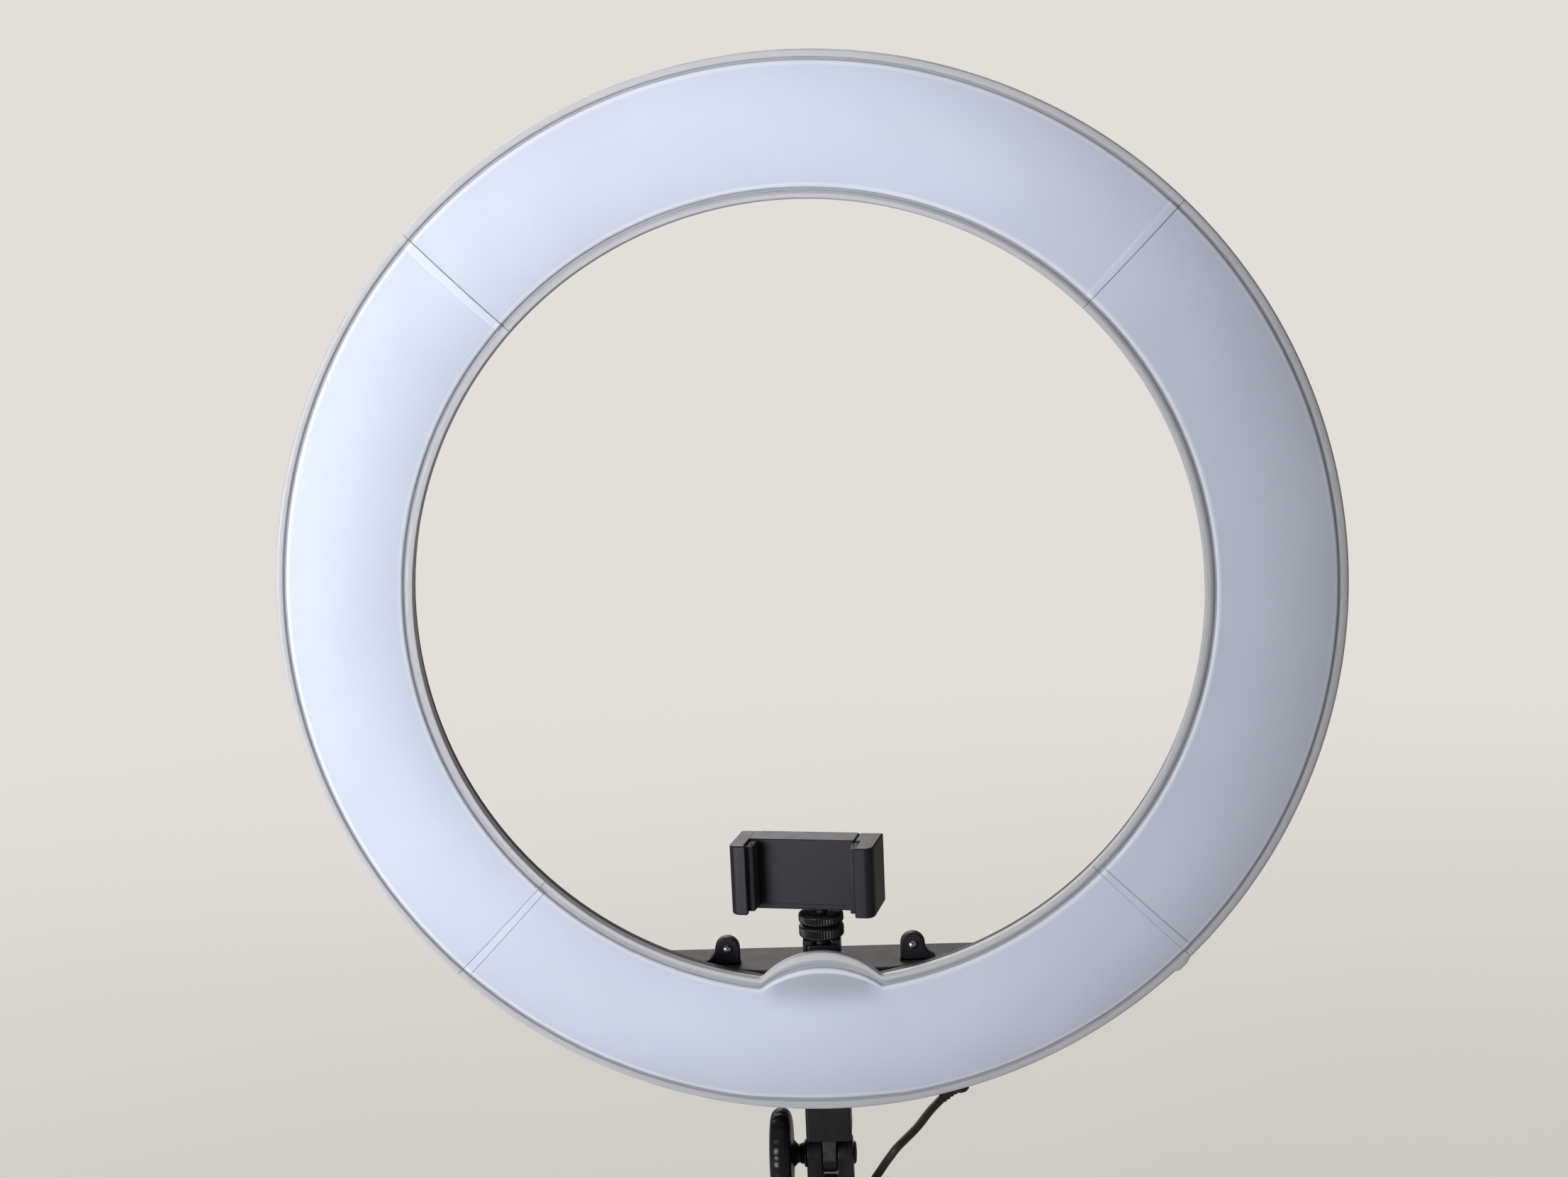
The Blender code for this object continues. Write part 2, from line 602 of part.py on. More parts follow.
def sliding_jaw(jaw):
    """Moving half: the right jaw on two rods that run in the housing."""
    lip = JAW_FACE - 0.8
    inner = HOLDER_RIGHT + GAP
    outline = [(JAW_FACE, JAW_TIP_Y + 2.7), (lip, JAW_TIP_Y + 2.4), (lip, JAW_TIP_Y),
               (JAW_RIGHT - 3.3, JAW_TIP_Y), (JAW_RIGHT, JAW_TIP_Y + 3.6), (JAW_RIGHT, BACK_Y[1]),
               (inner, BACK_Y[1]), (inner, BACK_Y[0]), (JAW_FACE, BACK_Y[0])]
    piece = add_object("sliding_jaw", prism(outline, "Z", *JAW_Z), "black_plastic", jaw)
    rod_end = JAW_RIGHT - 3.0
    sockets = [rod(1.8, 10.0, rod_end + GAP, "X", 12, (0, ROD_Y, z)) for z in ROD_Z]
    cut(piece, together(*sockets))
    for name, z in zip(("lower", "upper"), ROD_Z):
        guide = rod(1.5, -21.0, rod_end, "X", 12, (0, ROD_Y, z))
        add_object(f"guide_rod_{name}", guide, "bright_steel", jaw)


def clamp_spring(holder):
    """Extension spring that pulls the sliding jaw towards the fixed one."""
    coil_radius, wire_radius, turns, per_turn = 2.6, 0.45, 9, 7
    length = HOLDER_RIGHT - 1.0 - SPRING_LEFT
    path = []
    for index in range(turns * per_turn + 1):
        angle = math.tau * index / per_turn
        along = SPRING_LEFT + length * index / (turns * per_turn)
        path.append((along, ROD_Y + coil_radius * math.cos(angle),
                     SPRING_Z + coil_radius * math.sin(angle)))
    add_object("clamp_spring", swept(path, wire_radius, 4), "spring_steel", holder)


# ---- tilt bracket and stand adapter ---------------------------------------------------------------

BRACKET_HALF = 10.75
BRACKET_SCREWS_X = (-5.0, 5.0)
BRACKET_SCREW_Y = 34.0
PIVOT = (0.0, -RING_Y, PIVOT_Z - RING_Z)      # in ring coordinates
TONGUE_HALF = 3.3
TONGUE_RADIUS = 9.0
EAR_RADIUS = 8.5
EAR_X = (3.6, 11.0)
BOLT_RADIUS = 3.0
BOLT_HOLE = 3.3


def bracket(head):
    """Block under the ring, a plate back to the control box, and the tongue of the tilt joint."""
    block_z = (PIVOT[2] + 9.5, -240.5)
    width = (-BRACKET_HALF, BRACKET_HALF)
    piece = add_object("tilt_bracket", block(width, (5.0, 26.0), block_z), "black_metal", head)
    plate = block(width, (9.6, 41.0), (block_z[1] - 2.5, block_z[1] + 2.1))
    seat = block(width, (26.6, 41.0), (block_z[1], block_z[1] + 4.1))
    tongue_outline = arc((PIVOT[1], PIVOT[2]), TONGUE_RADIUS, 180, 360, 12)
    tongue_outline += [(PIVOT[1] + TONGUE_RADIUS, block_z[0] + 2.0),
                       (PIVOT[1] - TONGUE_RADIUS, block_z[0] + 2.0)]
    join(piece, plate, seat, prism(tongue_outline, "X", -TONGUE_HALF, TONGUE_HALF))
    screw_holes = [rod(SCREW_HOLE, -250.0, -230.0, "Z", 12, (x, BRACKET_SCREW_Y, 0))
                   for x in BRACKET_SCREWS_X]
    cut(piece, rod(BOLT_HOLE, -20, 20, "X", 16, (0, PIVOT[1], PIVOT[2])), together(*screw_holes))
    for name, x in zip(("left", "right"), BRACKET_SCREWS_X):
        add_object(f"bracket_screw_{name}", pan_screw(3.2, 2.4, 1.5, 11.0), "bright_steel", head,
                   (x, BRACKET_SCREW_Y, block_z[1] - 2.5 - GAP), (math.pi, 0, 0))


def stand_adapter():
    """Socket for the stand's spigot with the clevis of the tilt joint on top."""
    radius, floor = 12.5, 7.0
    body = [(0, -SOCKET_DEPTH), (radius, -SOCKET_DEPTH), (radius, floor - 1.5),
            (radius - 1.5, floor), (0, floor)]
    piece = add_object("stand_adapter", turned(body, "Z", 32), "black_metal")
    ear = arc((0, PIVOT_Z), EAR_RADIUS, 0, 180, 10) + [(-EAR_RADIUS, 3.0), (EAR_RADIUS, 3.0)]
    web_top = PIVOT_Z - TONGUE_RADIUS - 1.2
    web = block((-EAR_X[0] - 1.0, EAR_X[0] + 1.0), (1.0 - EAR_RADIUS, EAR_RADIUS - 1.0), (3.0, web_top))
    join(piece, prism(ear, "X", *EAR_X), prism(ear, "X", -EAR_X[1], -EAR_X[0]), web,
         rod(6.5, 9.5, 16.0, "X", 20, (0, 0, LOCK_Z)))
    cut(piece, rod(SPIGOT_BORE, -SOCKET_DEPTH - 5, 0, "Z", 32),
        rod(BOLT_HOLE, -20, 20, "X", 16, (0, 0, PIVOT_Z)),
        rod(BOLT_HOLE, 4.0, 20.0, "X", 16, (0, 0, LOCK_Z)))


def tilt_bolt():
    """Cross bolt: thin domed head on the right ear, threaded end in the knob on the left."""
    seat_x = EAR_X[1] + GAP
    head_x = seat_x + 1.5
    outline = [(0, head_x), (4.4, head_x - 0.3), (5.4, seat_x + 0.5), (5.4, seat_x),
               (BOLT_RADIUS, seat_x), (BOLT_RADIUS, -25.0), (0, -25.0)]
    add_object("tilt_bolt", turned(outline, "X", 20), "black_metal", at=(0, 0, PIVOT_Z))


def knob_outline(radius, bore):
    """Half section of a hand knob along +X: collar, cone, rounded rim and a shallow hub."""
    return [(bore, 0.0), (5.2, 0.0), (4.6, 2.4), (6.5, 5.0), (radius - 5.0, 5.6),
            (radius - 1.2, 7.2), (radius, 10.5), (radius - 1.2, 13.8), (radius - 5.0, 15.6),
            (9.0, 15.0), (6.0, 16.0), (0, 16.0), (0, 14.2), (bore, 14.2)]


def hand_knobs():
    """The tilt knob on the left and the lock knob on the right, each with its screw parts."""
    tilt = add_empty("tilt_knob_axis", at=(0, 0, PIVOT_Z))
    washer_x = -EAR_X[1] - GAP
    add_object("tilt_washer", tube(BOLT_HOLE, 6.5, washer_x - 1.0, washer_x, "X", 20),
               "black_metal", tilt)
    knob_x = washer_x - 1.0 - GAP
    tilt_knob = [(r, knob_x - h) for r, h in knob_outline(22.0, 3.3)]
    knob = add_object("tilt_knob", turned(tilt_knob, "X", 24), "black_plastic", tilt)
    cut(knob, hexagon(6.0, knob_x - 14.0, knob_x - 7.0, "X"))
    insert = add_object("tilt_knob_insert", hexagon(5.6, knob_x - 13.6, knob_x - 7.4, "X"), "brass",
                        tilt)
    cut(insert, rod(BOLT_HOLE, knob_x - 20, knob_x, "X", 16))

    lock = add_empty("lock_knob_axis", at=(0, 0, LOCK_Z))
    knob_x = 16.0 + GAP
    lock_knob = [(r, knob_x + h) for r, h in knob_outline(23.0, 3.3)]
    add_object("lock_knob", turned(lock_knob, "X", 24), "black_plastic", lock)
    add_object("lock_screw", rod(BOLT_RADIUS, 8.6, knob_x + 13.8, "X", 16), "bright_steel", lock)


# ---- power lead ------------------------------------------------------------------------------------

CABLE_RADIUS = 2.0
LEAD_START = (53.7, JACK_Y - 1.2, -251.5)     # just past the plug's strain relief


def power_plug(head):
    """Right-angled plug: barrel in the jack, elbow, and a strain relief towards the bracket."""
    plug = add_object("power_plug", rod(4.6, -247.5, -229.0, "Z", 16), "black_rubber", head,
                      (JACK_X, JACK_Y, 0))
    relief = swept([(1.0, 0, -244.6), (-4.0, -0.4, -247.2), (-8.6, -1.0, -250.7)], 2.7, 10)
    join(plug, rod(2.5, -230.0, -216.5, "Z", 12), relief)


def leads(head):
    """The lead hangs from the plug, crosses the tilt axis and runs down behind the socket."""
    upper = smooth_path([LEAD_START, (48.2, 30.4, -255.4), (41.5, 24.5, -261.4),
                         (32.6, 16.4, -267.0)], 4)
    add_object("cable_upper", swept(upper, CABLE_RADIUS, 8), "cable_jacket", head)
    lower = smooth_path([(28.9, 16.2, -271.6), (24.2, 20.0, -279.8), (18.9, 25.5, -291.0),
                         (17.2, 28.0, -304.0), (17.4, 27.5, -326.0), (20.5, 24.5, -346.0),
                         (22.0, 22.0, -361.5)], 4)
    shift = Vector((0, RING_Y, RING_Z))
    lower = [point + shift for point in lower]
    add_object("cable_lower", swept(lower, CABLE_RADIUS, 8), "cable_jacket")
    end = lower[-1]
    body = [(0, -0.4), (3.0, -0.4), (3.6, -6.0), (5.0, -8.0), (5.0, -29.0), (4.2, -30.0),
            (2.6, -30.0), (2.6, -18.0), (0, -18.0)]
    add_object("inline_socket", turned(body, "Z", 16), "black_rubber", at=end)


# ---- assembly ---------------------------------------------------------------------------------------

def build():
    clear_scene()
    head = add_empty("ring_centre", at=(0, RING_Y, RING_Z))
    rear_shell(head)
    diffuser_panel(head)
    heat_spreader(head)
    led_boards(head)
    filters(head)
    control_box(head)
    box_screws(head)
    driver_board(head)
    dimmer(head)
    power_switch(head)
    dc_jack(head)
    lugs(head)
    shoe(head)
    shoe_adapter(head)
    holder = add_empty("holder_axis", head, (0, STUD_Y, HOLDER_Z), (0, 0, HOLDER_YAW))
    jaw = add_empty("jaw_slide", holder)
    holder_housing(holder)
    holder_insert(holder)
    jaw_pads(holder, jaw)
    sliding_jaw(jaw)
    clamp_spring(holder)
    bracket(head)
    stand_adapter()
    tilt_bolt()
    hand_knobs()
    power_plug(head)
    leads(head)
    bpy.context.view_layer.update()


build()
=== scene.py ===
"""Looks of the ring light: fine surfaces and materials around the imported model, floor, light and camera.

Shapes are written in millimetres and placed by matrices; piece() turns them into metres.
Ring coordinates have their origin at the centre of the ring, in the plane of its face.
"""

import json
import math

import bmesh
import bpy
from mathutils import Matrix, Vector


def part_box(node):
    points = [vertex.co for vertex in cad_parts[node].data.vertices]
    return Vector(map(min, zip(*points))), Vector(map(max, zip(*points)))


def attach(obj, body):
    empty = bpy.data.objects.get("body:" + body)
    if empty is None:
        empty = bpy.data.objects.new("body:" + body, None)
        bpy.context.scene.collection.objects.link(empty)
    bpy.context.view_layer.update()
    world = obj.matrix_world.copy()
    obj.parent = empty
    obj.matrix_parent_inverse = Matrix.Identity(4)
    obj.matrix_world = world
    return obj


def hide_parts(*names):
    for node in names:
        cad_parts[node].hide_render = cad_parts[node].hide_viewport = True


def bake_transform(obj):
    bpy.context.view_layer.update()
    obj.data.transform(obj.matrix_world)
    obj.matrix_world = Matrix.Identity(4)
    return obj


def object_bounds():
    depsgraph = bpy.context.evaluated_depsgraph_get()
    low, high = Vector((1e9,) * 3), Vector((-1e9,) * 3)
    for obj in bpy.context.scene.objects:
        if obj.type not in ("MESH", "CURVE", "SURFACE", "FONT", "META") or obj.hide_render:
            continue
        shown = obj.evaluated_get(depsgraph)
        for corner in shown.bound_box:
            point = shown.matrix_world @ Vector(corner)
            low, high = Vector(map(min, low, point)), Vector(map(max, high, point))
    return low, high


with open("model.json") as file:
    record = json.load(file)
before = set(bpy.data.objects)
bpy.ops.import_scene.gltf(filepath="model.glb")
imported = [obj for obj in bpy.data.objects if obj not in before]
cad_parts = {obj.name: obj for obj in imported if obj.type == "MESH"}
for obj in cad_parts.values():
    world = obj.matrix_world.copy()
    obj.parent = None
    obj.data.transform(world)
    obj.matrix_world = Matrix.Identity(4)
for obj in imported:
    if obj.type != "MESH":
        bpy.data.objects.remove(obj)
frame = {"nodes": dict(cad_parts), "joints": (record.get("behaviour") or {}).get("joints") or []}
CAD_BOUNDS = [list(corner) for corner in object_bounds()]

MM = 0.001
AXES = {"X": (1, 2, 0), "Y": (0, 2, 1), "Z": (0, 1, 2)}
JOINTS = {joint["name"]: joint for joint in frame["joints"]}


def low(node):
    """Lowest corner of a CAD node, in millimetres."""
    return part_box(node)[0] / MM


def high(node):
    """Highest corner of a CAD node, in millimetres."""
    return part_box(node)[1] / MM


def corners(node):
    """Lowest and highest corner of a CAD node, in millimetres."""
    return low(node), high(node)


def middle(node):
    """Centre of a CAD node's box, in millimetres."""
    return (low(node) + high(node)) / 2


def joint_place(name):
    """A point on a joint's axis, in millimetres."""
    return Vector(JOINTS[name]["pos_m"]) / MM


# ---- driving dimensions, worked out from the frame ---------------------

DOME = 4.4                   # how far a filter's skin stands in front of the face plane
RING_CENTRE = Vector((0, low("filter_top").y + DOME, middle("rear_shell").z))
RING_RADIUS = high("filter_top").z - RING_CENTRE.z
HOLE_RADIUS = RING_RADIUS - 62.8
SHELL_RADIUS = high("rear_shell").z - RING_CENTRE.z
SHELL_INNER = HOLE_RADIUS + 1.8
SHELL_BACK = high("rear_shell").y - RING_CENTRE.y
SHELF_Z = high("control_box").z - RING_CENTRE.z
BOX_BACK = high("control_box").y - RING_CENTRE.y
BOX_HALF = high("control_box").x
PIVOT = joint_place("head_tilt")
SWIVEL = joint_place("phone_swivel")
HOLDER_YAW = math.atan2(JOINTS["jaw_slide"]["axis"][1], JOINTS["jaw_slide"]["axis"][0])
WALL = 1.8                   # thickness of the shell
SHELL_STEPS = 168            # facets round the shell
BOX_RADIUS = 236.0           # the curved underside of the control box, from the centre of the ring
STUD_HOLE = 3.3              # clearance for the cross bolt, the lock screw and the phone holder's stud
SCREW_HOLE = 1.75            # clearance for the shoe's screws and the lug pins
NUT_RADIUS = 5.6             # from the centre of a hexagonal nut to its corners

RING = Matrix.Translation(RING_CENTRE * MM)
TILT = Matrix.Translation(PIVOT * MM)
LOCK = Matrix.Translation(joint_place("lock_knob_turn") * MM)
STUD = Matrix.Translation(SWIVEL * MM)
HOLDER = STUD @ Matrix.Rotation(HOLDER_YAW, 4, "Z")
WORLD = Matrix.Identity(4)


# ---- shapes ------------------------------------------------------------

def placed(axis, across, up, along):
    """A point from its place along an axis and its two places across it."""
    point = [0.0, 0.0, 0.0]
    first, second, third = AXES[axis]
    point[first], point[second], point[third] = across, up, along
    return point


def arc(centre, radius, first, last, steps):
    """Points along an arc, angles in degrees."""
    points = []
    for index in range(steps + 1):
        angle = math.radians(first + (last - first) * index / steps)
        points.append((centre[0] + radius * math.cos(angle), centre[1] + radius * math.sin(angle)))
    return points


def rectangle(x, y):
    """A closed outline from two (low, high) pairs."""
    return [(x[0], y[0]), (x[1], y[0]), (x[1], y[1]), (x[0], y[1])]


def about(centre, half):
    """A (low, high) pair round a centre."""
    return centre - half, centre + half


def mirrored(right):
    """A closed outline from its right half."""
    return right + [(-x, y) for x, y in reversed(right)]


def fillet(outline, radius, steps=4):
    """Rounds the corners of a closed outline; points on the turning axis (0, h) stay as they are."""
    result = []
    count = len(outline)
    for index, corner in enumerate(outline):
        here = Vector(corner)
        back = Vector(outline[index - 1]) - here
        ahead = Vector(outline[(index + 1) % count]) - here
        reach = min(radius, 0.45 * back.length, 0.45 * ahead.length)
        turn = back.angle(-ahead, 0.0)
        if reach < 1e-3 or turn < math.radians(4) or abs(here.x) < 1e-6:
            result.append(tuple(here))
            continue
        first = here + back.normalized() * reach
        last = here + ahead.normalized() * reach
        for step in range(steps + 1):
            t = step / steps
            point = first * (1 - t) ** 2 + here * (2 * t * (1 - t)) + last * t ** 2
            result.append(tuple(point))
    return result


def rounded(x, y, radius, steps=4):
    """A rectangle with rounded corners."""
    return fillet(rectangle(x, y), radius, steps)


def area(outline):
    """Enclosed area, negative for a clockwise outline."""
    pairs = zip(outline, outline[1:] + outline[:1])
    return sum(a[0] * b[1] - b[0] * a[1] for a, b in pairs) / 2


def inset(outline, amount):
    """The same outline, moved inwards by an amount at every point."""
    inwards = 1.0 if area(outline) > 0 else -1.0
    result = []
    count = len(outline)
    for index, corner in enumerate(outline):
        here = Vector(corner)
        back = (here - Vector(outline[index - 1])).normalized()
        ahead = (Vector(outline[(index + 1) % count]) - here).normalized()
        mean = back + ahead
        if mean.length < 1e-6:
            mean = ahead
        mean.normalize()
        normal = Vector((-mean.y, mean.x)) * inwards
        cosine = max(0.5, mean.dot(ahead))
        result.append(tuple(here + normal * amount / cosine))
    return result


def skin(sections):
    """A closed surface through sections of equally many points, flat at both ends."""
    shape = bmesh.new()
    rows = [[shape.verts.new(point) for point in section] for section in sections]
    count = len(rows[0])
    for near, far in zip(rows, rows[1:]):
        for index in range(count):
            following = (index + 1) % count
            shape.faces.new([near[index], near[following], far[following], far[index]])
    shape.faces.new(rows[0])
    shape.faces.new(rows[-1])
    return shape


def soft_prism(outline, axis, start, end, edge=0.8, steps=3):
    """An outline carried along an axis, with both rims rounded by edge."""
    sections = [(start + edge * (1 - math.cos(math.pi / 2 * k / steps)),
                 edge * (1 - math.sin(math.pi / 2 * k / steps))) for k in range(steps + 1)]
    sections += [(start + end - along, depth) for along, depth in reversed(sections)]
    rows = []
    for along, depth in sections:
        rows.append([placed(axis, *point, along) for point in inset(outline, depth)])
    return skin(rows)


def turned(profile, axis="Z", steps=48, ripple=None):
    """Turns a closed outline of (radius, height) points; ripple(radius, height, angle) may change it."""
    shape = bmesh.new()
    columns = []
    for radius, height in profile:
        if radius < 1e-6:
            columns.append([shape.verts.new(placed(axis, 0.0, 0.0, height))] * steps)
            continue
        column = []
        for index in range(steps):
            angle = math.tau * index / steps
            reach, along = ripple(radius, height, angle) if ripple else (radius, height)
            point = placed(axis, reach * math.cos(angle), reach * math.sin(angle), along)
            column.append(shape.verts.new(point))
        columns.append(column)
    for index in range(steps):
        following = (index + 1) % steps
        for here, there in zip(columns, columns[1:] + columns[:1]):
            face = list(dict.fromkeys([here[index], there[index], there[following], here[following]]))
            if len(face) > 2:
                shape.faces.new(face)
    return shape


def rod(radius, start, end, axis="Z", steps=32):
    """A round bar with slightly rounded ends."""
    return turned(fillet([(0, start), (radius, start), (radius, end), (0, end)], 0.3), axis, steps)


def tube(inner, outer, start, end, axis="Z", steps=48, edge=0.3):
    """A ring with a rectangular section and rounded edges."""
    return turned(rounded((inner, outer), (start, end), edge), axis, steps)


def hexagon(radius, start, end, axis="X"):
    """A six-sided bar; the radius reaches its corners."""
    return turned([(0, start), (radius, start), (radius, end), (0, end)], axis, 6)


def threaded(radius, depth, pitch, start, end, axis="X"):
    """A rod with a helical ridge that fades out at both ends."""
    rows = max(8, int((end - start) / pitch * 6))
    profile = [(0, start)]
    for row in range(rows + 1):
        profile.append((radius, start + (end - start) * row / rows))
    profile.append((0, end))

    def ridge(reach, along, angle):
        phase = (along / pitch - angle / math.tau) % 1.0
        fade = max(0.0, min(1.0, (along - start) / pitch, (end - along) / pitch))
        return reach - depth * abs(2 * phase - 1) * fade - depth * (1 - fade), along

    return turned(profile, axis, 24, ridge)


def moved(shape, matrix):
    """The shape itself, after a transform."""
    bmesh.ops.transform(shape, matrix=matrix, verts=shape.verts)
    return shape


def shifted(shape, x=0.0, y=0.0, z=0.0):
    return moved(shape, Matrix.Translation((x, y, z)))


def as_mesh(name, shape):
    """A mesh from a shape, which is used up."""
    mesh = bpy.data.meshes.new(name)
    shape.to_mesh(mesh)
    shape.free()
    return mesh


def in_scene(name, data):
    """A new object in the scene."""
    obj = bpy.data.objects.new(name, data)
    bpy.context.scene.collection.objects.link(obj)
    return obj


def together(*shapes):
    """Several shapes side by side in one, with their surfaces left apart."""
    whole = bmesh.new()
    for shape in shapes:
        mesh = as_mesh("part", shape)
        whole.from_mesh(mesh)
        bpy.data.meshes.remove(mesh)
    return whole


def smooth_path(points, steps):
    """A Catmull-Rom curve through the points."""
    points = [Vector(point) for point in points]
    points = [2 * points[0] - points[1]] + points + [2 * points[-1] - points[-2]]
    path = []
    for a, b, c, d in zip(points, points[1:], points[2:], points[3:]):
        for index in range(steps):
            t = index / steps
            bend = 2 * a - 5 * b + 4 * c - d
            twist = 3 * b - a - 3 * c + d
            path.append(0.5 * (2 * b + (c - a) * t + bend * t ** 2 + twist * t ** 3))
    path.append(points[-2])
    return path


def swept(path, radius_at, sides=16):
    """A round bar along a path; radius_at(t) gives its radius from 0 to 1 along it."""
    sections = []
    across = None
    for index, point in enumerate(path):
        before = path[max(index - 1, 0)]
        after = path[min(index + 1, len(path) - 1)]
        ahead = (after - before).normalized()
        if across is None:
            across = ahead.orthogonal().normalized()
        across = (across - ahead * across.dot(ahead)).normalized()
        beside = ahead.cross(across)
        radius = radius_at(index / (len(path) - 1))
        section = []
        for side in range(sides):
            angle = math.tau * side / sides
            section.append(point + (across * math.cos(angle) + beside * math.sin(angle)) * radius)
        sections.append(section)
    return skin(sections)


def boolean(shape, tool, operation):
    """A shape after a Boolean with a tool; both are used up."""
    objects = []
    for part in (shape, tool):
        bmesh.ops.recalc_face_normals(part, faces=part.faces)
        objects.append(in_scene("carving", as_mesh("carving", part)))
    change = objects[0].modifiers.new("carving", "BOOLEAN")
    change.operation = operation
    change.object = objects[1]
    change.solver = "EXACT"
    bpy.context.view_layer.update()
    evaluated = objects[0].evaluated_get(bpy.context.evaluated_depsgraph_get())
    result = bmesh.new()
    result.from_mesh(evaluated.to_mesh())
    evaluated.to_mesh_clear()
    for obj in objects:
        mesh = obj.data
        bpy.data.objects.remove(obj)
        bpy.data.meshes.remove(mesh)
    return result


def carved(shape, *tools):
    """A shape with each tool cut out of it in turn."""
    for tool in tools:
        shape = boolean(shape, tool, "DIFFERENCE")
    return shape


def joined(shape, *tools):
    """A shape with each tool fused to it in turn."""
    for tool in tools:
        shape = boolean(shape, tool, "UNION")
    return shape


def piece(name, shape, look, body, stands_for=(), at=WORLD, sharp=35.0):
    """A finished piece from a shape in millimetres, riding on a body, in the slot named like its look."""
    bmesh.ops.scale(shape, vec=(MM, MM, MM), verts=shape.verts)
    bmesh.ops.recalc_face_normals(shape, faces=shape.faces)
    mesh = as_mesh(name, shape)
    mesh.shade_smooth()
    mesh.set_sharp_from_angle(angle=math.radians(sharp))
    mesh.materials.append(LOOKS[look])
    obj = in_scene(name, mesh)
    obj.matrix_world = at
    weighted = obj.modifiers.new("weighted normals", "WEIGHTED_NORMAL")
    weighted.keep_sharp = True
    if body:
        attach(obj, body)
    if stands_for:
        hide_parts(*([stands_for] if isinstance(stands_for, str) else stands_for))
    return obj


# ---- materials ---------------------------------------------------------

def linear(*channels):
    """A linear colour from sRGB channels of 0 to 255."""
    result = []
    for channel in channels:
        value = channel / 255.0
        result.append(value / 12.92 if value <= 0.04045 else ((value + 0.055) / 1.055) ** 2.4)
    return (*result, 1.0)


def put(tree, made, inputs):
    """Gives a node's inputs their values, or links sockets to them."""
    for key, value in inputs.items():
        if isinstance(value, bpy.types.NodeSocket):
            tree.links.new(value, made.inputs[key])
        else:
            made.inputs[key].default_value = value


def node(tree, kind, inputs=None, **settings):
    """A shader node; inputs are values, or sockets to link."""
    made = tree.nodes.new(kind)
    for key, value in settings.items():
        setattr(made, key, value)
    put(tree, made, inputs or {})
    return made


def new_material(name):
    made = bpy.data.materials.new(name)
    made.use_nodes = True
    return made, made.node_tree, made.node_tree.nodes["Principled BSDF"]


def noise(tree, scale, detail=3.0, stretch=(1, 1, 1)):
    """Noise whose scale is in features per metre of the piece's own space."""
    where = node(tree, "ShaderNodeTexCoord").outputs["Object"]
    where = node(tree, "ShaderNodeMapping", {"Vector": where, "Scale": stretch}).outputs["Vector"]
    made = node(tree, "ShaderNodeTexNoise", {"Vector": where, "Scale": scale, "Detail": detail})
    return made.outputs["Fac"]


def ranged(tree, value, start, end, first, last, **settings):
    """Stretches a value between start and end to the range first to last."""
    made = node(tree, "ShaderNodeMapRange", {"Value": value, "From Min": start, "From Max": end,
                                             "To Min": first, "To Max": last}, **settings)
    return made.outputs["Result"]


def span(tree, grain, first, last):
    """Stretches a noise value, which mostly lies between 0.35 and 0.65, to the range first to last."""
    return ranged(tree, grain, 0.35, 0.65, first, last)


def mixed(tree, amount, first, second, blend_type="MIX"):
    """A mix of two colours, by the mix node's sockets 6 and 7 for colours."""
    made = node(tree, "ShaderNodeMix", data_type="RGBA", blend_type=blend_type)
    put(tree, made, {"Factor": amount, 6: first, 7: second})
    return made.outputs[2]


def mixed_shader(tree, amount, first, second):
    """A mix of two shader nodes; all of the second at an amount of 1."""
    made = node(tree, "ShaderNodeMixShader", {"Fac": amount, 1: first.outputs[0], 2: second.outputs[0]})
    return made.outputs[0]


def tinted(tree, colour, darkest, lightest, grain):
    """A colour, or a colour socket, made darker and lighter by a noise value."""
    amount = span(tree, grain, darkest, lightest)
    grey = node(tree, "ShaderNodeCombineColor", {"Red": amount, "Green": amount, "Blue": amount})
    return mixed(tree, 1.0, colour, grey.outputs["Color"], "MULTIPLY")


def worn(tree, colour, edge_colour, strength):
    """Lighter along convex edges, where handling polishes or chips the surface."""
    point = node(tree, "ShaderNodeNewGeometry").outputs["Pointiness"]
    edge = ranged(tree, point, 0.52, 0.62, 0.0, strength)
    patchy = noise(tree, 300.0)
    amount = node(tree, "ShaderNodeMath", {0: edge, 1: patchy}, operation="MULTIPLY").outputs[0]
    return mixed(tree, amount, colour, edge_colour)


def bumped(tree, height, strength, distance):
    made = node(tree, "ShaderNodeBump", {"Height": height, "Strength": strength, "Distance": distance})
    return made.outputs["Normal"]


def moulded(name, colour, roughness=0.5, grain=2500.0, depth=0.00004, wear=0.15, coat=0.0):
    """Injection-moulded plastic: eroded grain, faint flow shading, edges rubbed a little lighter."""
    made, tree, shader = new_material(name)
    base = tinted(tree, colour, 0.96, 1.05, noise(tree, 25.0, 2.0))
    edge_colour = (*[min(1.0, channel * 2.2 + 0.02) for channel in colour[:3]], 1.0)
    put(tree, shader, {
        "Base Color": worn(tree, base, edge_colour, wear),
        "Roughness": span(tree, noise(tree, 120.0), roughness - 0.02, roughness + 0.03),
        "Normal": bumped(tree, noise(tree, grain, 4.0), 0.5, depth),
        "Specular IOR Level": 0.3,
        "Coat Weight": coat,
        "Coat Roughness": 0.15,
    })
    return made


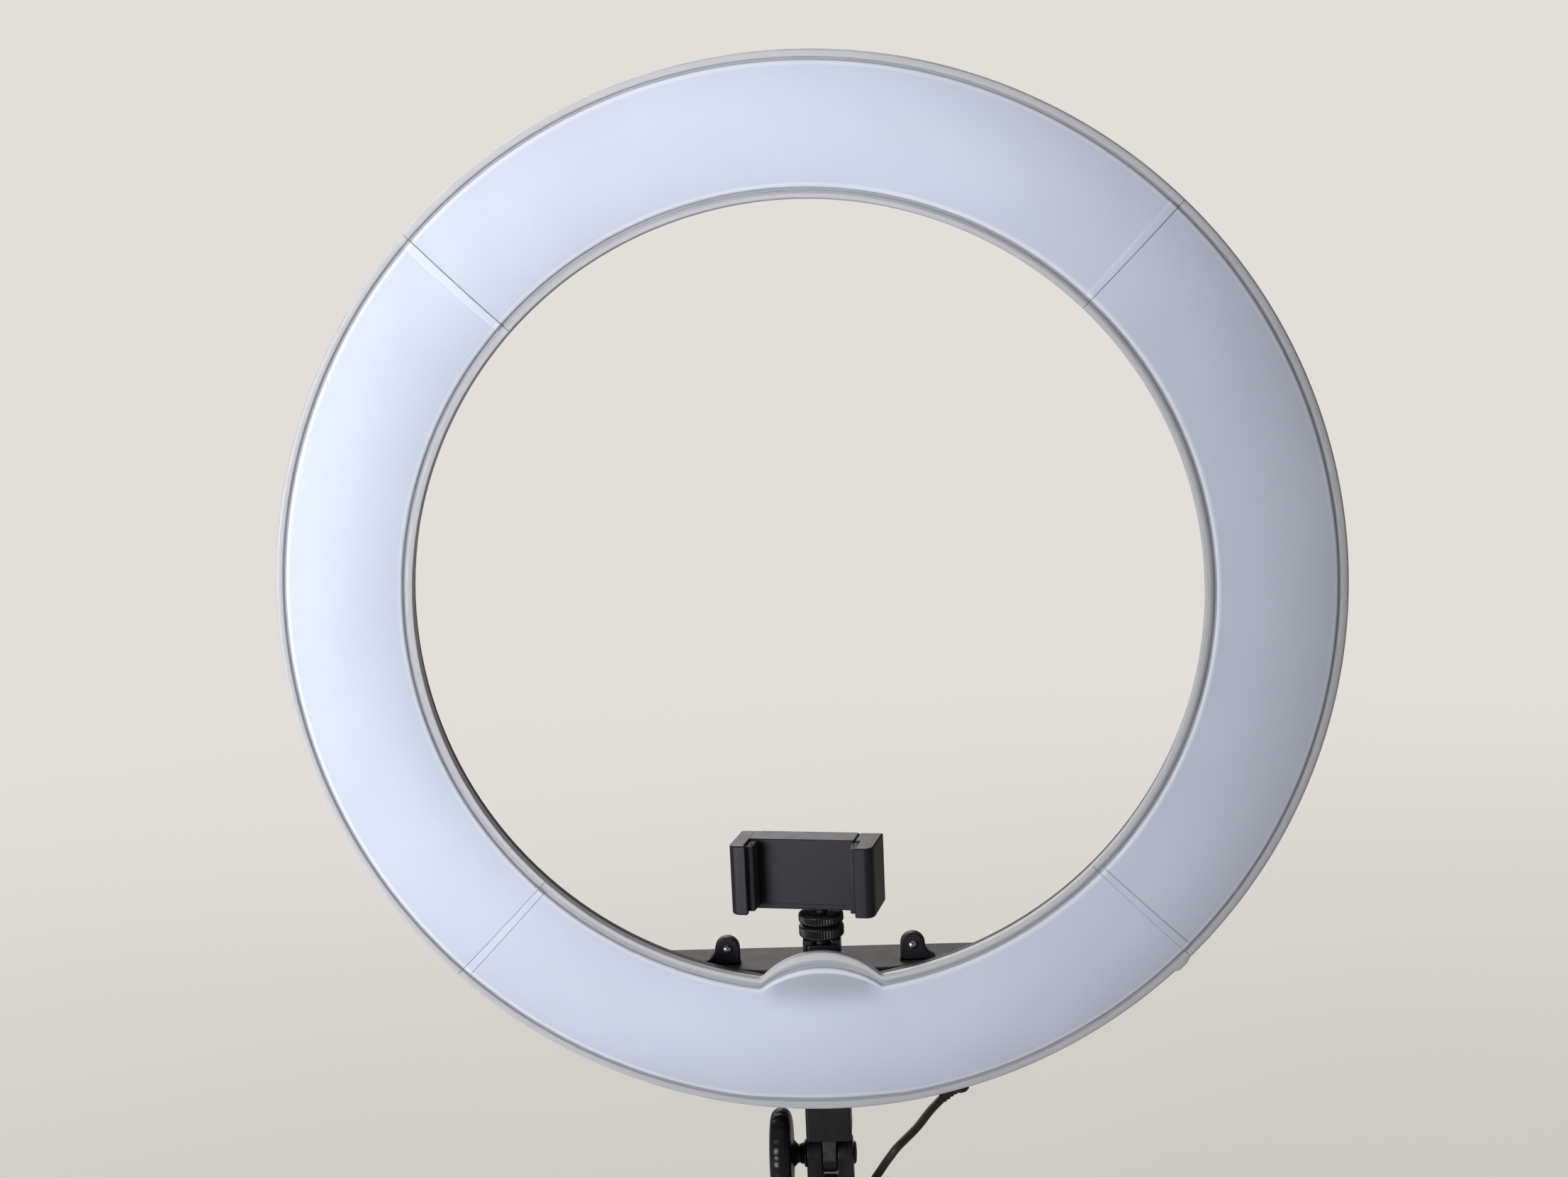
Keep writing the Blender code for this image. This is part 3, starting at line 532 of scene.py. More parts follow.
def rubber(name, colour, roughness=0.75):
    """Dull soft plastic with a little dust on it."""
    made, tree, shader = new_material(name)
    dust = noise(tree, 60.0, 5.0)
    put(tree, shader, {
        "Base Color": tinted(tree, colour, 0.8, 1.35, dust),
        "Roughness": span(tree, dust, roughness - 0.1, roughness + 0.1),
        "Sheen Weight": 0.12,
        "Normal": bumped(tree, noise(tree, 3500.0), 0.4, 0.00003),
    })
    return made


def metal(name, colour, roughness, stretch):
    """Bare metal with fine tool marks, drawn out along one direction."""
    made, tree, shader = new_material(name)
    marks = noise(tree, 900.0, 4.0, stretch)
    put(tree, shader, {
        "Base Color": tinted(tree, colour, 0.85, 1.08, noise(tree, 90.0)),
        "Roughness": span(tree, marks, roughness - 0.08, roughness + 0.12),
        "Metallic": 1.0,
        "Normal": bumped(tree, marks, 0.35, 0.00001),
    })
    return made


def coated_metal(name, colour):
    """Black coat over metal: slight orange peel, bright specks where edges are chipped."""
    made, tree, shader = new_material(name)
    base = tinted(tree, colour, 0.85, 1.15, noise(tree, 40.0))
    put(tree, shader, {
        "Base Color": worn(tree, base, linear(120, 118, 120), 0.5),
        "Roughness": span(tree, noise(tree, 200.0, 4.0), 0.3, 0.46),
        "Metallic": 0.25,
        "Normal": bumped(tree, noise(tree, 1800.0, 2.0), 0.45, 0.00005),
    })
    return made


def filter_plastic():
    """Translucent white; the vertex tint holds the greyer rims, painted shade in the grooves, beside the
    inner lip, towards the face's edges and near the lobe, and painted highlights on the beads and the seam
    strips.
    """
    made, tree, shader = new_material("filter_white")
    tint = node(tree, "ShaderNodeAttribute", attribute_name="tint").outputs["Color"]
    put(tree, shader, {
        "Base Color": tinted(tree, tint, 0.975, 1.02, noise(tree, 14.0)),
        "Roughness": span(tree, noise(tree, 160.0, 4.0), 0.34, 0.46),
        "Subsurface Weight": 0.25,
        "Subsurface Radius": (1.0, 1.0, 1.1),
        "Subsurface Scale": 0.003,
        "Normal": bumped(tree, noise(tree, 1400.0), 0.25, 0.00003),
    })
    return made


def opal_plastic():
    """The milky panel under the filters."""
    made, tree, shader = new_material("opal_white")
    cloud = noise(tree, 20.0, 2.0)
    put(tree, shader, {
        "Base Color": tinted(tree, linear(236, 238, 240), 0.97, 1.02, cloud),
        "Roughness": 0.32,
        "Subsurface Weight": 0.3,
        "Subsurface Scale": 0.003,
        "Normal": bumped(tree, noise(tree, 2200.0, 2.0), 0.3, 0.00002),
    })
    return made


def board(name, colour, trace):
    """Solder mask over copper tracks, which show as slightly raised lighter lines."""
    made, tree, shader = new_material(name)
    where = node(tree, "ShaderNodeTexCoord").outputs["Object"]
    cells = node(tree, "ShaderNodeTexVoronoi", {"Vector": where, "Scale": 220.0},
                 feature="DISTANCE_TO_EDGE")
    line = ranged(tree, cells.outputs["Distance"], 0.03, 0.06, 1.0, 0.0)
    put(tree, shader, {
        "Base Color": mixed(tree, line, colour, trace),
        "Roughness": 0.35,
        "Normal": bumped(tree, line, 0.4, 0.00003),
    })
    return made


LOOKS = {
    "filter": filter_plastic(),
    "opal": opal_plastic(),
    "shell": moulded("shell_grey", linear(85, 84, 82), 0.6, 2200.0, 0.00006, 0.2),
    "pad": moulded("pad_grey", linear(188, 190, 193), 0.5, 2600.0, 0.00003, 0.1),
    "black_plastic": moulded("black_plastic", linear(27, 25, 33), 0.45, 2600.0, 0.00005, 0.3),
    "knob": moulded("knob_black", linear(26, 24, 27), 0.36, 3000.0, 0.00002, 0.3, 0.15),
    "black_metal": coated_metal("coated_black", linear(27, 24, 27)),
    "rubber": rubber("rubber_black", linear(26, 26, 28)),
    "cable": rubber("cable_jacket", linear(52, 43, 39), 0.55),
    "steel": metal("plated_steel", linear(196, 198, 202), 0.22, (1, 6, 1)),
    "brass": metal("turned_brass", linear(200, 164, 92), 0.3, (1, 1, 5)),
    "aluminium": metal("mill_aluminium", linear(188, 190, 194), 0.38, (8, 1, 1)),
    "board_white": board("board_white", linear(228, 230, 230), linear(212, 214, 208)),
    "board_green": board("board_green", linear(28, 84, 50), linear(58, 128, 74)),
    "mark": moulded("mark_white", linear(206, 206, 202), 0.6, 3000.0, 0.00002, 0.0),
}


# ---- filters -----------------------------------------------------------

SKIN_TINT = (0.705, 0.755, 0.885)
# painted highlight: the bead beside each groove is tinted lighter than the skin, where its rounded edge
# would catch the light
BEAD_HIGHLIGHT_TINT = (0.78, 0.82, 0.92)
RIM_TINT = (0.60, 0.60, 0.625)
# painted shade: the narrow band where the inner lip slopes into the groove is tinted darker than the rim
LIP_SHADE_TINT = (0.44, 0.445, 0.47)
# painted shade: the groove in front of each rim is tinted darker, as shade in the crease
GROOVE_SHADE_TINT = (0.43, 0.44, 0.48)
# painted shade: the filter's skin is tinted darker towards the top of the lobe
LOBE_SHADE_TINT = (0.46, 0.485, 0.56)
LIP_WIDTH = 4.0              # flat band between the hole and the groove
LOBE_PEAK = -163.1           # top of the lobe, from the centre of the ring
LOBE_RADIUS = 38.0
GROOVE_PEAK = -169.5         # top of the groove that follows the lobe
GROOVE_ARC_RADIUS = 46.0
# the groove's points carry painted shade and the bead's points a painted highlight
EDGE_PROFILE = ((0.0, -1.9, GROOVE_SHADE_TINT), (0.3, -1.6, GROOVE_SHADE_TINT), (0.9, -1.6, GROOVE_SHADE_TINT),
                (1.2, -1.9, GROOVE_SHADE_TINT), (1.5, -2.45, BEAD_HIGHLIGHT_TINT), (1.9, -2.85, BEAD_HIGHLIGHT_TINT),
                (2.7, -3.0, BEAD_HIGHLIGHT_TINT))      # a groove and the bead inside it, from the rim inwards
# painted highlight: the raised strip at each filter's first end is tinted lighter, most on the left
# quarter, nearest the window light
STRIP_HIGHLIGHT = {"left": 1.10, "bottom": 1.04, "top": 1.04, "right": 1.0}
STRIP_WIDTH = 1.0            # in degrees along a quarter, as are all stations
STRIP_HEIGHT = 0.45
SEAM_EDGE = 0.04             # the last stretch before a seam, which drops back a little
SEAM_DROP = 0.2
NIB = (87.6, 89.2)           # first and last station of the small nib on the bottom filter's rim
NIB_REACH = 1.1


def ray_to_arc(angle, peak, radius, otherwise):
    """Distance from the ring's centre to the lobe's arc along an angle, or the plain radius."""
    drop = radius - peak
    across = abs(math.cos(angle)) * drop
    if math.sin(angle) > -0.9 or across >= radius:
        return otherwise
    reach = -math.sin(angle) * drop - math.sqrt(radius ** 2 - across ** 2)
    return min(otherwise, reach)


def filter_section():
    """(radius, y, tint) round a filter's section, outer lip over the face to the inner lip and back."""
    outer, inner = RING_RADIUS, HOLE_RADIUS
    bead_out, bead_in = outer - 7.0, inner + 7.3
    centre, half = (bead_out + bead_in) / 2, (bead_out - bead_in) / 2
    outer_rim = [(SHELL_RADIUS + 0.3, 8.7), (SHELL_RADIUS + 0.6, 9.0), (outer - 0.3, 9.0), (outer, 8.7),
                 (outer, -1.2), (outer - 0.25, -1.9), (outer - 0.7, -2.35), (outer - 1.3, -2.5),
                 (outer - 2.8, -2.5), (outer - 3.2, -2.35)]
    inner_lip = [(inner + 3.4, -2.35), (inner + 2.5, -2.5)]
    inner_rim = [(inner + 2.0, -2.5), (inner + 0.7, -2.35), (inner + 0.25, -1.9), (inner, -1.2),
                 (inner, 1.1), (inner + 0.3, 1.4), (inner + 1.2, 1.4), (inner + 1.5, 1.1),
                 (inner + 1.5, 0.6), (inner + 5.0, 0.2)]
    underside = [(outer - 5.0, 0.2), (SHELL_RADIUS + 0.3, 0.6)]
    face = []
    for step in range(13):
        share = 1 - 2 * step / 12
        rise = 1 - share ** 2
        # painted shade and highlight: the skin's tint is lighter in the middle of the face and darker
        # towards both of its edges
        tint = tuple((0.95 + 0.07 * rise) * channel for channel in SKIN_TINT)
        face.append((centre + half * share, -3.05 - (DOME - 3.05) * rise, tint))
    section = [(*point, RIM_TINT) for point in outer_rim]
    section += [(outer - 3.5 - along, y, tint) for along, y, tint in EDGE_PROFILE]
    section += face
    section += [(inner + 3.7 + along, y, tint) for along, y, tint in reversed(EDGE_PROFILE)]
    section += [(*point, LIP_SHADE_TINT) for point in inner_lip]
    section += [(*point, RIM_TINT) for point in inner_rim]
    section.append((centre, -2.4, SKIN_TINT))
    return section + [(*point, RIM_TINT) for point in underside]


def filter_stations(step):
    """Angles across a quarter, closer together at the seams."""
    ends = [0.02, 0.06, 0.16, 0.95, 1.05, 1.15]
    between = [ends[-1] + step * (k + 1) for k in range(int((90 - 2 * ends[-1]) / step - 0.5))]
    return ends + between + [90 - end for end in reversed(ends)]


def stretched(radius, lip, groove):
    """A section's radius where the lobe moves the lip and the groove away from their plain circles."""
    plain = HOLE_RADIUS + LIP_WIDTH
    if radius <= plain:
        return lip + (radius - HOLE_RADIUS) * (groove - lip) / LIP_WIDTH
    return groove + (radius - plain) / (RING_RADIUS - plain) * (RING_RADIUS - groove)


def lobe_shade(tint, reach, groove):
    """Painted shade: darker towards the top of the lobe; fades out below it and at both of its sides."""
    plain = HOLE_RADIUS + LIP_WIDTH
    lit = max(0.0, min(1.0, (reach - plain + 3.0) / 14.0))
    lit = lit * lit * (3 - 2 * lit)
    shaded = (1 - lit) * min(1.0, (plain - groove) / 6.0)
    return tuple(base + (lobe - base) * shaded for base, lobe in zip(tint, LOBE_SHADE_TINT))


def quarter_filter(side, first):
    """A quarter ring; its first end has a raised strip, and the bottom one swells into the lobe."""
    lobed = side == "bottom"
    plain = HOLE_RADIUS + LIP_WIDTH
    section = filter_section()
    sections = []
    tints = []
    for station in filter_stations(0.45 if lobed else 1.0):
        angle = math.radians(first + station)
        lip, groove = HOLE_RADIUS, plain
        if lobed:
            lip = ray_to_arc(angle, LOBE_PEAK, LOBE_RADIUS, lip)
            groove = ray_to_arc(angle, GROOVE_PEAK, GROOVE_ARC_RADIUS, groove)
        # the strip's points are lightened by the painted highlight factor
        raised, brightness_factor = (STRIP_HEIGHT, STRIP_HIGHLIGHT[side]) if station < STRIP_WIDTH else (0.0, 1.0)
        drop = SEAM_DROP if min(station, 90 - station) < SEAM_EDGE else 0.0
        nib = NIB_REACH if lobed and NIB[0] < station < NIB[1] else 0.0
        row = []
        for radius, y, tint in section:
            reach = stretched(radius, lip, groove)
            if y < 0:
                y += drop
                if plain + 0.5 < radius < RING_RADIUS - 4.5:
                    y -= raised
            if radius > RING_RADIUS - 0.8:
                reach += nib
            row.append((reach * math.cos(angle), y, reach * math.sin(angle)))
            if radius > plain + 2.5:
                tint = lobe_shade(tint, reach, groove)
            tints.append(tuple(brightness_factor * channel for channel in tint))
        sections.append(row)
    name = f"filter_{side}"
    obj = piece(f"{name}_skin", skin(sections), "filter", name, name, RING)
    layer = obj.data.color_attributes.new("tint", "FLOAT_COLOR", "POINT")
    for index, tint in enumerate(tints):
        layer.data[index].color = (*tint, 1.0)


def ring_face():
    """The four filters and the panel behind them."""
    for side, first in {"right": -45, "top": 45, "left": 135, "bottom": 225}.items():
        quarter_filter(side, first)
    panel = tube(SHELL_INNER + 2.2, SHELL_RADIUS - 2.2, 1.5, 3.0, "Y", 160, 0.4)
    piece("opal_panel", panel, "opal", "head", "diffuser_panel", RING)


# ---- shell and control box ---------------------------------------------

def shell_line(grow=0.0):
    """Outer line of the shell's section, from the front outside round the back."""
    return [(SHELL_RADIUS + grow, 1.0), (SHELL_RADIUS + grow, 16.0),
            (SHELL_RADIUS - 6.0 + grow, SHELL_BACK + grow), (SHELL_INNER + 11.0 - grow, SHELL_BACK + grow),
            (SHELL_INNER - grow, 12.0), (SHELL_INNER - grow, 1.0)]


def ring_shell():
    """The grey trough with a rib inside it and groups of louvres across its back."""
    floor_y = SHELL_BACK - WALL
    rib_in, rib_out, rib_front = 206.0, 210.0, 17.0
    louvre_span = (214.0, 227.0)
    inside = [(SHELL_INNER + WALL, 1.0), (SHELL_INNER + WALL, 11.3), (SHELL_INNER + 12.0, floor_y),
              (rib_in, floor_y), (rib_in, rib_front), (rib_out, rib_front), (rib_out, floor_y),
              (SHELL_RADIUS - 7.0, floor_y), (SHELL_RADIUS - WALL, 15.4), (SHELL_RADIUS - WALL, 1.0)]
    trough = turned(fillet(shell_line() + inside, 2.2, 3), "Y", SHELL_STEPS)
    louvres = []
    for group in range(0, 181, 30):
        for louvre in range(-3, 4):
            outline = rounded(louvre_span, about(0.0, 0.9), 0.85, 3)
            cutter = soft_prism(outline, "Y", SHELL_BACK - 1.2, SHELL_BACK + 3.0, 0.2, 1)
            turn = Matrix.Rotation(-math.radians(group + 2.2 * louvre), 4, "Y")
            louvres.append(moved(cutter, turn))
    piece("ring_shell", carved(trough, together(*louvres)), "shell", "head", "rear_shell", RING)


def box_outline(depth):
    """Straight shelf, leaning shoulders, and an underside that follows the ring."""
    half, radius, top = BOX_HALF - depth, BOX_RADIUS - depth, SHELF_Z - depth
    side = math.degrees(math.asin(half / radius))
    base = arc((0, 0), radius, 270 - side, 270 + side, 40)
    return fillet(base + mirrored([(half, -190.0), (half - 16.0, top)]), 6.0, 5)


def control_box():
    """Rear cover with a rounded back edge, louvres, and openings for the controls."""
    cover = soft_prism(box_outline(0.0), "Y", 10.5, BOX_BACK, 2.0, 4)
    envelope = turned(shell_line(0.3), "Y", SHELL_STEPS)
    cavity = soft_prism(box_outline(2.0), "Y", 20.0, BOX_BACK - 2.0, 0.5, 1)
    dimmer = joint_place("dimmer_turn") - RING_CENTRE
    switch = joint_place("power_switch") - RING_CENTRE
    jack = middle("dc_jack") - RING_CENTRE
    front, rear = BOX_BACK - 8.0, BOX_BACK + 6.0
    holes = [shifted(rod(4.9, front, rear, "Y"), dimmer.x, 0, dimmer.z),
             soft_prism(rectangle(about(switch.x, 9.6), about(switch.z, 6.6)), "Y", front, rear, 0.2, 1)]
    for side in (-1, 1):
        for row in range(6):
            louvre = rounded(about(side * 76, 7), about(-192.0 - 3.4 * row, 0.8), 0.75, 3)
            holes.append(soft_prism(louvre, "Y", BOX_BACK - 1.1, BOX_BACK + 2.0, 0.1, 1))
    holes.append(shifted(rod(4.4, -240.0, -215.0), jack.x, jack.y))
    cover = carved(cover, envelope, cavity, together(*holes))
    piece("box_cover", cover, "shell", "head", "control_box", RING, 40.0)
    dial_marks(dimmer)


def dial_marks(dimmer):
    """Plain ticks round the dimmer, longer at both ends and in the middle."""
    marks = []
    for tick in range(11):
        angle = math.radians(240 - 30 * tick)
        length = 3.2 if tick % 5 == 0 else 2.0
        mark = soft_prism(rectangle((11.8, 11.8 + length), about(0.0, 0.35)), "Y", BOX_BACK - 0.2,
                          BOX_BACK + 0.18, 0.1, 1)
        mark = moved(mark, Matrix.Rotation(-angle, 4, "Y"))
        marks.append(shifted(mark, dimmer.x, 0, dimmer.z))
    piece("dial_marks", together(*marks), "mark", "head", (), RING)


def dimmer_knob():
    """A skirted knob with grip flutes and a pointer."""
    base, tip = low("dimmer_knob").y, high("dimmer_knob").y
    dimmer = joint_place("dimmer_turn")
    at = Matrix.Translation(Vector((dimmer.x, 0, dimmer.z)) * MM)
    outline = [(3.4, base + 2.0), (5.0, base + 0.4), (9.2, base), (9.5, base + 1.4), (8.9, base + 2.6),
               (8.5, tip - 1.1), (7.4, tip - 0.3), (6.6, tip - 0.9), (0, tip - 0.9), (0, tip - 3.0),
               (3.4, tip - 3.0)]

    def flutes(reach, along, angle):
        if reach > 8.2 and along > base + 2.0:
            return reach - 0.45 * (0.5 + 0.5 * math.cos(24 * angle)) ** 2, along
        return reach, along

    knob = turned(fillet(outline, 0.6, 3), "Y", 192, flutes)
    pointer = soft_prism(rectangle(about(0.0, 0.55), (3.0, 7.6)), "Y", tip - 1.2, tip, 0.15, 1)
    piece("dimmer_cap", knob, "knob", "dimmer", "dimmer_knob", at)
    piece("dimmer_pointer", pointer, "mark", "dimmer", (), at)


def power_switch():
    """A rocker with a hollowed face, tipped to one side, in a frame with a rounded rim."""
    place = joint_place("power_switch")
    at = Matrix.Translation(place * MM) @ Matrix.Rotation(-math.radians(8.0), 4, "Z")
    face = [(-6.9, -2.5), (6.9, -2.5)] + arc((0, 17.4), 13.6, 298, 242, 10)
    key = soft_prism(fillet(face, 0.5, 2), "Z", -4.5, 4.5, 0.4, 2)
    piece("rocker_key", key, "knob", "rocker", "power_rocker", at)

    lo, hi = corners("switch_housing")
    rim = soft_prism(rounded((lo.x, hi.x), (lo.z, hi.z), 1.5), "Y", hi.y - 1.5, hi.y, 0.5)
    body = soft_prism(rectangle((lo.x + 1.4, hi.x - 1.4), (lo.z + 1.4, hi.z - 1.4)), "Y", lo.y,
                      hi.y - 0.8, 0.2, 1)
    window = soft_prism(rounded(about(place.x, 7.9), about(place.z, 4.9), 0.5), "Y", lo.y + 3.5,
                        hi.y + 3.0, 0.1, 1)
    piece("switch_frame", carved(joined(rim, body), window), "black_plastic", "head", "switch_housing")


# ---- fasteners ---------------------------------------------------------

def screw(node_name, direction, head_radius, head_height, shank_radius, turn=0.3):
    """A pan-head screw with a cross recess over a CAD screw's own box; its head faces the direction."""
    lo, hi = corners(node_name)
    axis = Vector(direction)
    whole = abs((hi - lo).dot(axis))
    length = whole - head_height
    outline = [(0, head_height), (head_radius * 0.55, head_height), (head_radius, head_height * 0.4),
               (head_radius, 0), (shank_radius, 0), (shank_radius, -length), (0, -length)]
    body = turned(fillet(outline, 0.7, 4), "Z", 32)
    arm, width = head_radius * 0.62, head_radius * 0.1
    recess = [soft_prism(rectangle(about(0.0, x), about(0.0, y)), "Z", head_height * 0.35,
                         head_height + 1, 0.05, 1) for x, y in ((arm, width), (width, arm))]
    seat = middle(node_name) + axis * (whole / 2 - head_height)
    rotation = axis.to_track_quat("Z", "X").to_matrix().to_4x4() @ Matrix.Rotation(turn, 4, "Z")
    at = Matrix.Translation(seat * MM) @ rotation
    piece(f"{node_name}_cross", carved(body, *recess), "steel", "head", node_name, at)


def fasteners():
    for number in range(1, 5):
        screw(f"box_screw_{number}", (0, 1, 0), 3.4, 2.2, 1.5, turn=0.4 * number)
    for side in ("left", "right"):
        screw(f"bracket_screw_{side}", (0, 0, -1), 3.2, 2.4, 1.5, turn=0.8)
    for place in ("front", "rear"):
        screw(f"shoe_screw_{place}", (0, 0, 1), 2.7, 1.6, 1.4)


# ---- lugs, shoe and adapter --------------------------------------------

def lugs():
    """Upright ears with a flared foot and a bright domed pin."""
    half = 5.8
    for side, sign in (("left", -1), ("right", 1)):
        name = f"lug_{side}"
        lo, hi = low(name) - RING_CENTRE, high(name) - RING_CENTRE
        centre_x = hi.x - half if sign < 0 else lo.x + half
        crown = hi.z - half
        outline = arc((0, crown), half, 0, 180, 16)
        outline += [(-half, lo.z + 1.0), (-half - 0.6, lo.z), (10.5, lo.z), (10.5, lo.z + 2.0),
                    (8.2, lo.z + 3.0), (half + 0.3, lo.z + 5.6)]
        outline = [(sign * x, z) for x, z in outline]
        ear = soft_prism(fillet(outline, 0.8, 3), "Y", lo.y, hi.y, 0.9)
        ear = carved(ear, shifted(rod(SCREW_HOLE, lo.y - 3, hi.y + 3, "Y", 24), 0, 0, crown))
        at = RING @ Matrix.Translation((centre_x * MM, 0, 0))
        piece(f"ear_{side}", ear, "black_plastic", "head", name, at)
        pin = [(0, -1.7), (1.0, -1.6), (1.9, -1.0), (2.3, -0.2), (2.2, 0), (1.4, 0), (1.4, 6.4), (0, 6.4)]
        pin_at = at @ Matrix.Translation(Vector((0, lo.y - 0.3, crown)) * MM)
        pin = turned(fillet(pin, 0.3, 3), "Y", 32)
        piece(f"ear_pin_{side}", pin, "steel", "head", f"lug_pin_{side}", pin_at)


def shoe():
    """A tapered pad and the accessory shoe on it, screwed down from above."""
    screw_places = [middle(f"shoe_screw_{place}").y for place in ("front", "rear")]
    lo, hi = corners("shoe_pad")
    outline = mirrored([(hi.x, lo.z), (hi.x - 0.9, lo.z + 0.8), (9.6, hi.z)])
    pad = soft_prism(fillet(outline, 0.6, 3), "Y", lo.y, hi.y, 0.5)
    drilled = [shifted(rod(SCREW_HOLE, lo.z - 5, hi.z + 5, "Z", 24), 0, y) for y in screw_places]
    piece("shoe_base", carved(pad, together(*drilled)), "pad", "head", "shoe_pad")

    lo, hi = corners("cold_shoe")
    half, wall, lip, floor_z = hi.x, 1.6, 2.6, lo.z + 4.0
    inner = half - wall
    channel = mirrored([(half, lo.z), (half, hi.z), (inner - lip, hi.z), (inner - lip, hi.z - 2.0),
                        (inner, hi.z - 2.0), (inner, floor_z)])
    rail = soft_prism(fillet(channel, 0.35, 2), "Y", lo.y, hi.y, 0.3, 2)
    sink = [(0, lo.z - 3), (SCREW_HOLE, lo.z - 3), (SCREW_HOLE, lo.z + 1.7), (3.0, lo.z + 1.7),
            (3.0, hi.z + 4), (0, hi.z + 4)]
    sunk = [shifted(turned(sink, "Z", 32), 0, y) for y in screw_places]
    piece("shoe_rail", carved(rail, together(*sunk)), "black_metal", "head", "cold_shoe")


def knurled_nut(name, node_name):
    """A round nut whose rim is cut with fine straight knurls between two plain beads."""
    lo, hi = low(node_name) - SWIVEL, high(node_name) - SWIVEL
    radius, base, top = hi.x, lo.z, hi.z
    centre = (base + top) / 2
    band = (top - base) / 2 - 1.3
    outline = [(STUD_HOLE, base), (radius - 1.4, base), (radius - 0.3, base + 0.7), (radius, base + 1.3)]
    outline += [(radius, centre - band * 0.5), (radius, centre), (radius, centre + band * 0.5)]
    outline += [(radius, top - 1.3), (radius - 0.3, top - 0.7), (radius - 1.4, top), (STUD_HOLE, top)]

    def knurl(reach, along, angle):
        if reach > radius - 0.1 and abs(along - centre) < band + 0.4:
            phase = (angle * 48 / math.tau) % 1.0
            return reach - 0.55 * abs(2 * phase - 1), along
        return reach, along

    nut = turned(fillet(outline, 0.25, 2), "Z", 192, knurl)
    piece(name, nut, "black_metal", node_name, node_name, STUD, 50.0)


def adapter():
    """The foot that slides in the shoe, its threaded stud, and the two nuts on it."""
    lo, hi = low("shoe_foot") - SWIVEL, high("shoe_foot") - SWIVEL
    plate = soft_prism(rounded((lo.x, hi.x), (lo.y, hi.y), 1.2), "Z", lo.z, lo.z + 3.7, 0.5)
    neck = rod(4.2, lo.z + 3.0, lo.z + 6.3)
    foot = joined(plate, neck, threaded(3.15, 0.35, 1.27, lo.z + 5.0, hi.z, "Z"))
    piece("foot_and_stud", foot, "black_metal", "shoe_adapter", "shoe_foot", STUD)
    knurled_nut("nut_lower", "lower_nut")
    knurled_nut("nut_upper", "upper_nut")


# ---- phone holder ------------------------------------------------------

HOLDER_TOP = 34.0
HOLDER_LEFT = -31.0          # inner face of the fixed jaw, behind its pad
HOLDER_END = 18.5            # where the sliding jaw begins
JAW_FACE = 21.2              # inner face of the sliding jaw, behind its pad
JAW_BASE = 0.8               # lower end of both jaws
ROD_Y = 1.5
ROD_Z = {"lower": 12.5, "upper": 27.0}


def jaw_profile(outer, inner, back):
    """A jaw seen from above, thick and rounded at its tip; negative outer is the left one."""
    sign = 1.0 if outer > 0 else -1.0
    lip = inner - 0.8 * sign
    points = [(outer, 7.9), (outer, -14.5)]
    for step in range(7):
        angle = math.pi / 2 * step / 6
        points.append((outer - sign * 4.2 * (1 - math.cos(angle)), -15.0 - 5.0 * math.sin(angle)))
    points += [(lip + sign * 0.5, -20.0), (lip, -19.5), (lip, -17.7), (inner, -17.3), (inner, -6.2)]
    if back is None:
        return points + [(inner, 7.9)]
    return points + [(back, -5.9), (back, 7.9)]


def holder():
    """Hollow back with the fixed jaw, and a rear cover with upright grip lines."""
    back = soft_prism(rounded((HOLDER_LEFT - 1.0, HOLDER_END), (-6.0, 7.95), 1.0), "Z", 0.05,
                      HOLDER_TOP - 0.05, 0.7)
    fixed = soft_prism(jaw_profile(-38.5, HOLDER_LEFT, None), "Z", JAW_BASE, HOLDER_TOP, 1.0, 4)
    recess = soft_prism(rounded((-26.0, HOLDER_END - 2.5), (2.6, HOLDER_TOP - 2.6), 1.5), "Y", -8.0,
                        -5.75, 0.1, 1)
    cavity = soft_prism(rectangle((-24.0, 26.0), (-2.5, 12.0)), "Z", 9.5, HOLDER_TOP - 3.5, 0.2, 1)
    pocket = hexagon(6.0, -4.0, 7.0, "Z")
    housing = carved(joined(back, fixed), recess, cavity, pocket)
    piece("holder_back", housing, "black_plastic", "phone_holder", "holder_housing", HOLDER)

    cover = soft_prism(rounded((HOLDER_LEFT + 0.5, HOLDER_END), (0.5, HOLDER_TOP - 0.5), 2.0), "Y",
                       8.3, 10.0, 0.6)
    grips = [soft_prism(rounded((x, x + 1.2), (8.0, 26.0), 0.55), "Y", 9.6, 12.0, 0.1, 1)
             for x in range(-18, 8, 3)]
    cover = carved(cover, together(*grips))
    piece("holder_rear", cover, "black_plastic", "phone_holder", "holder_cover", HOLDER)


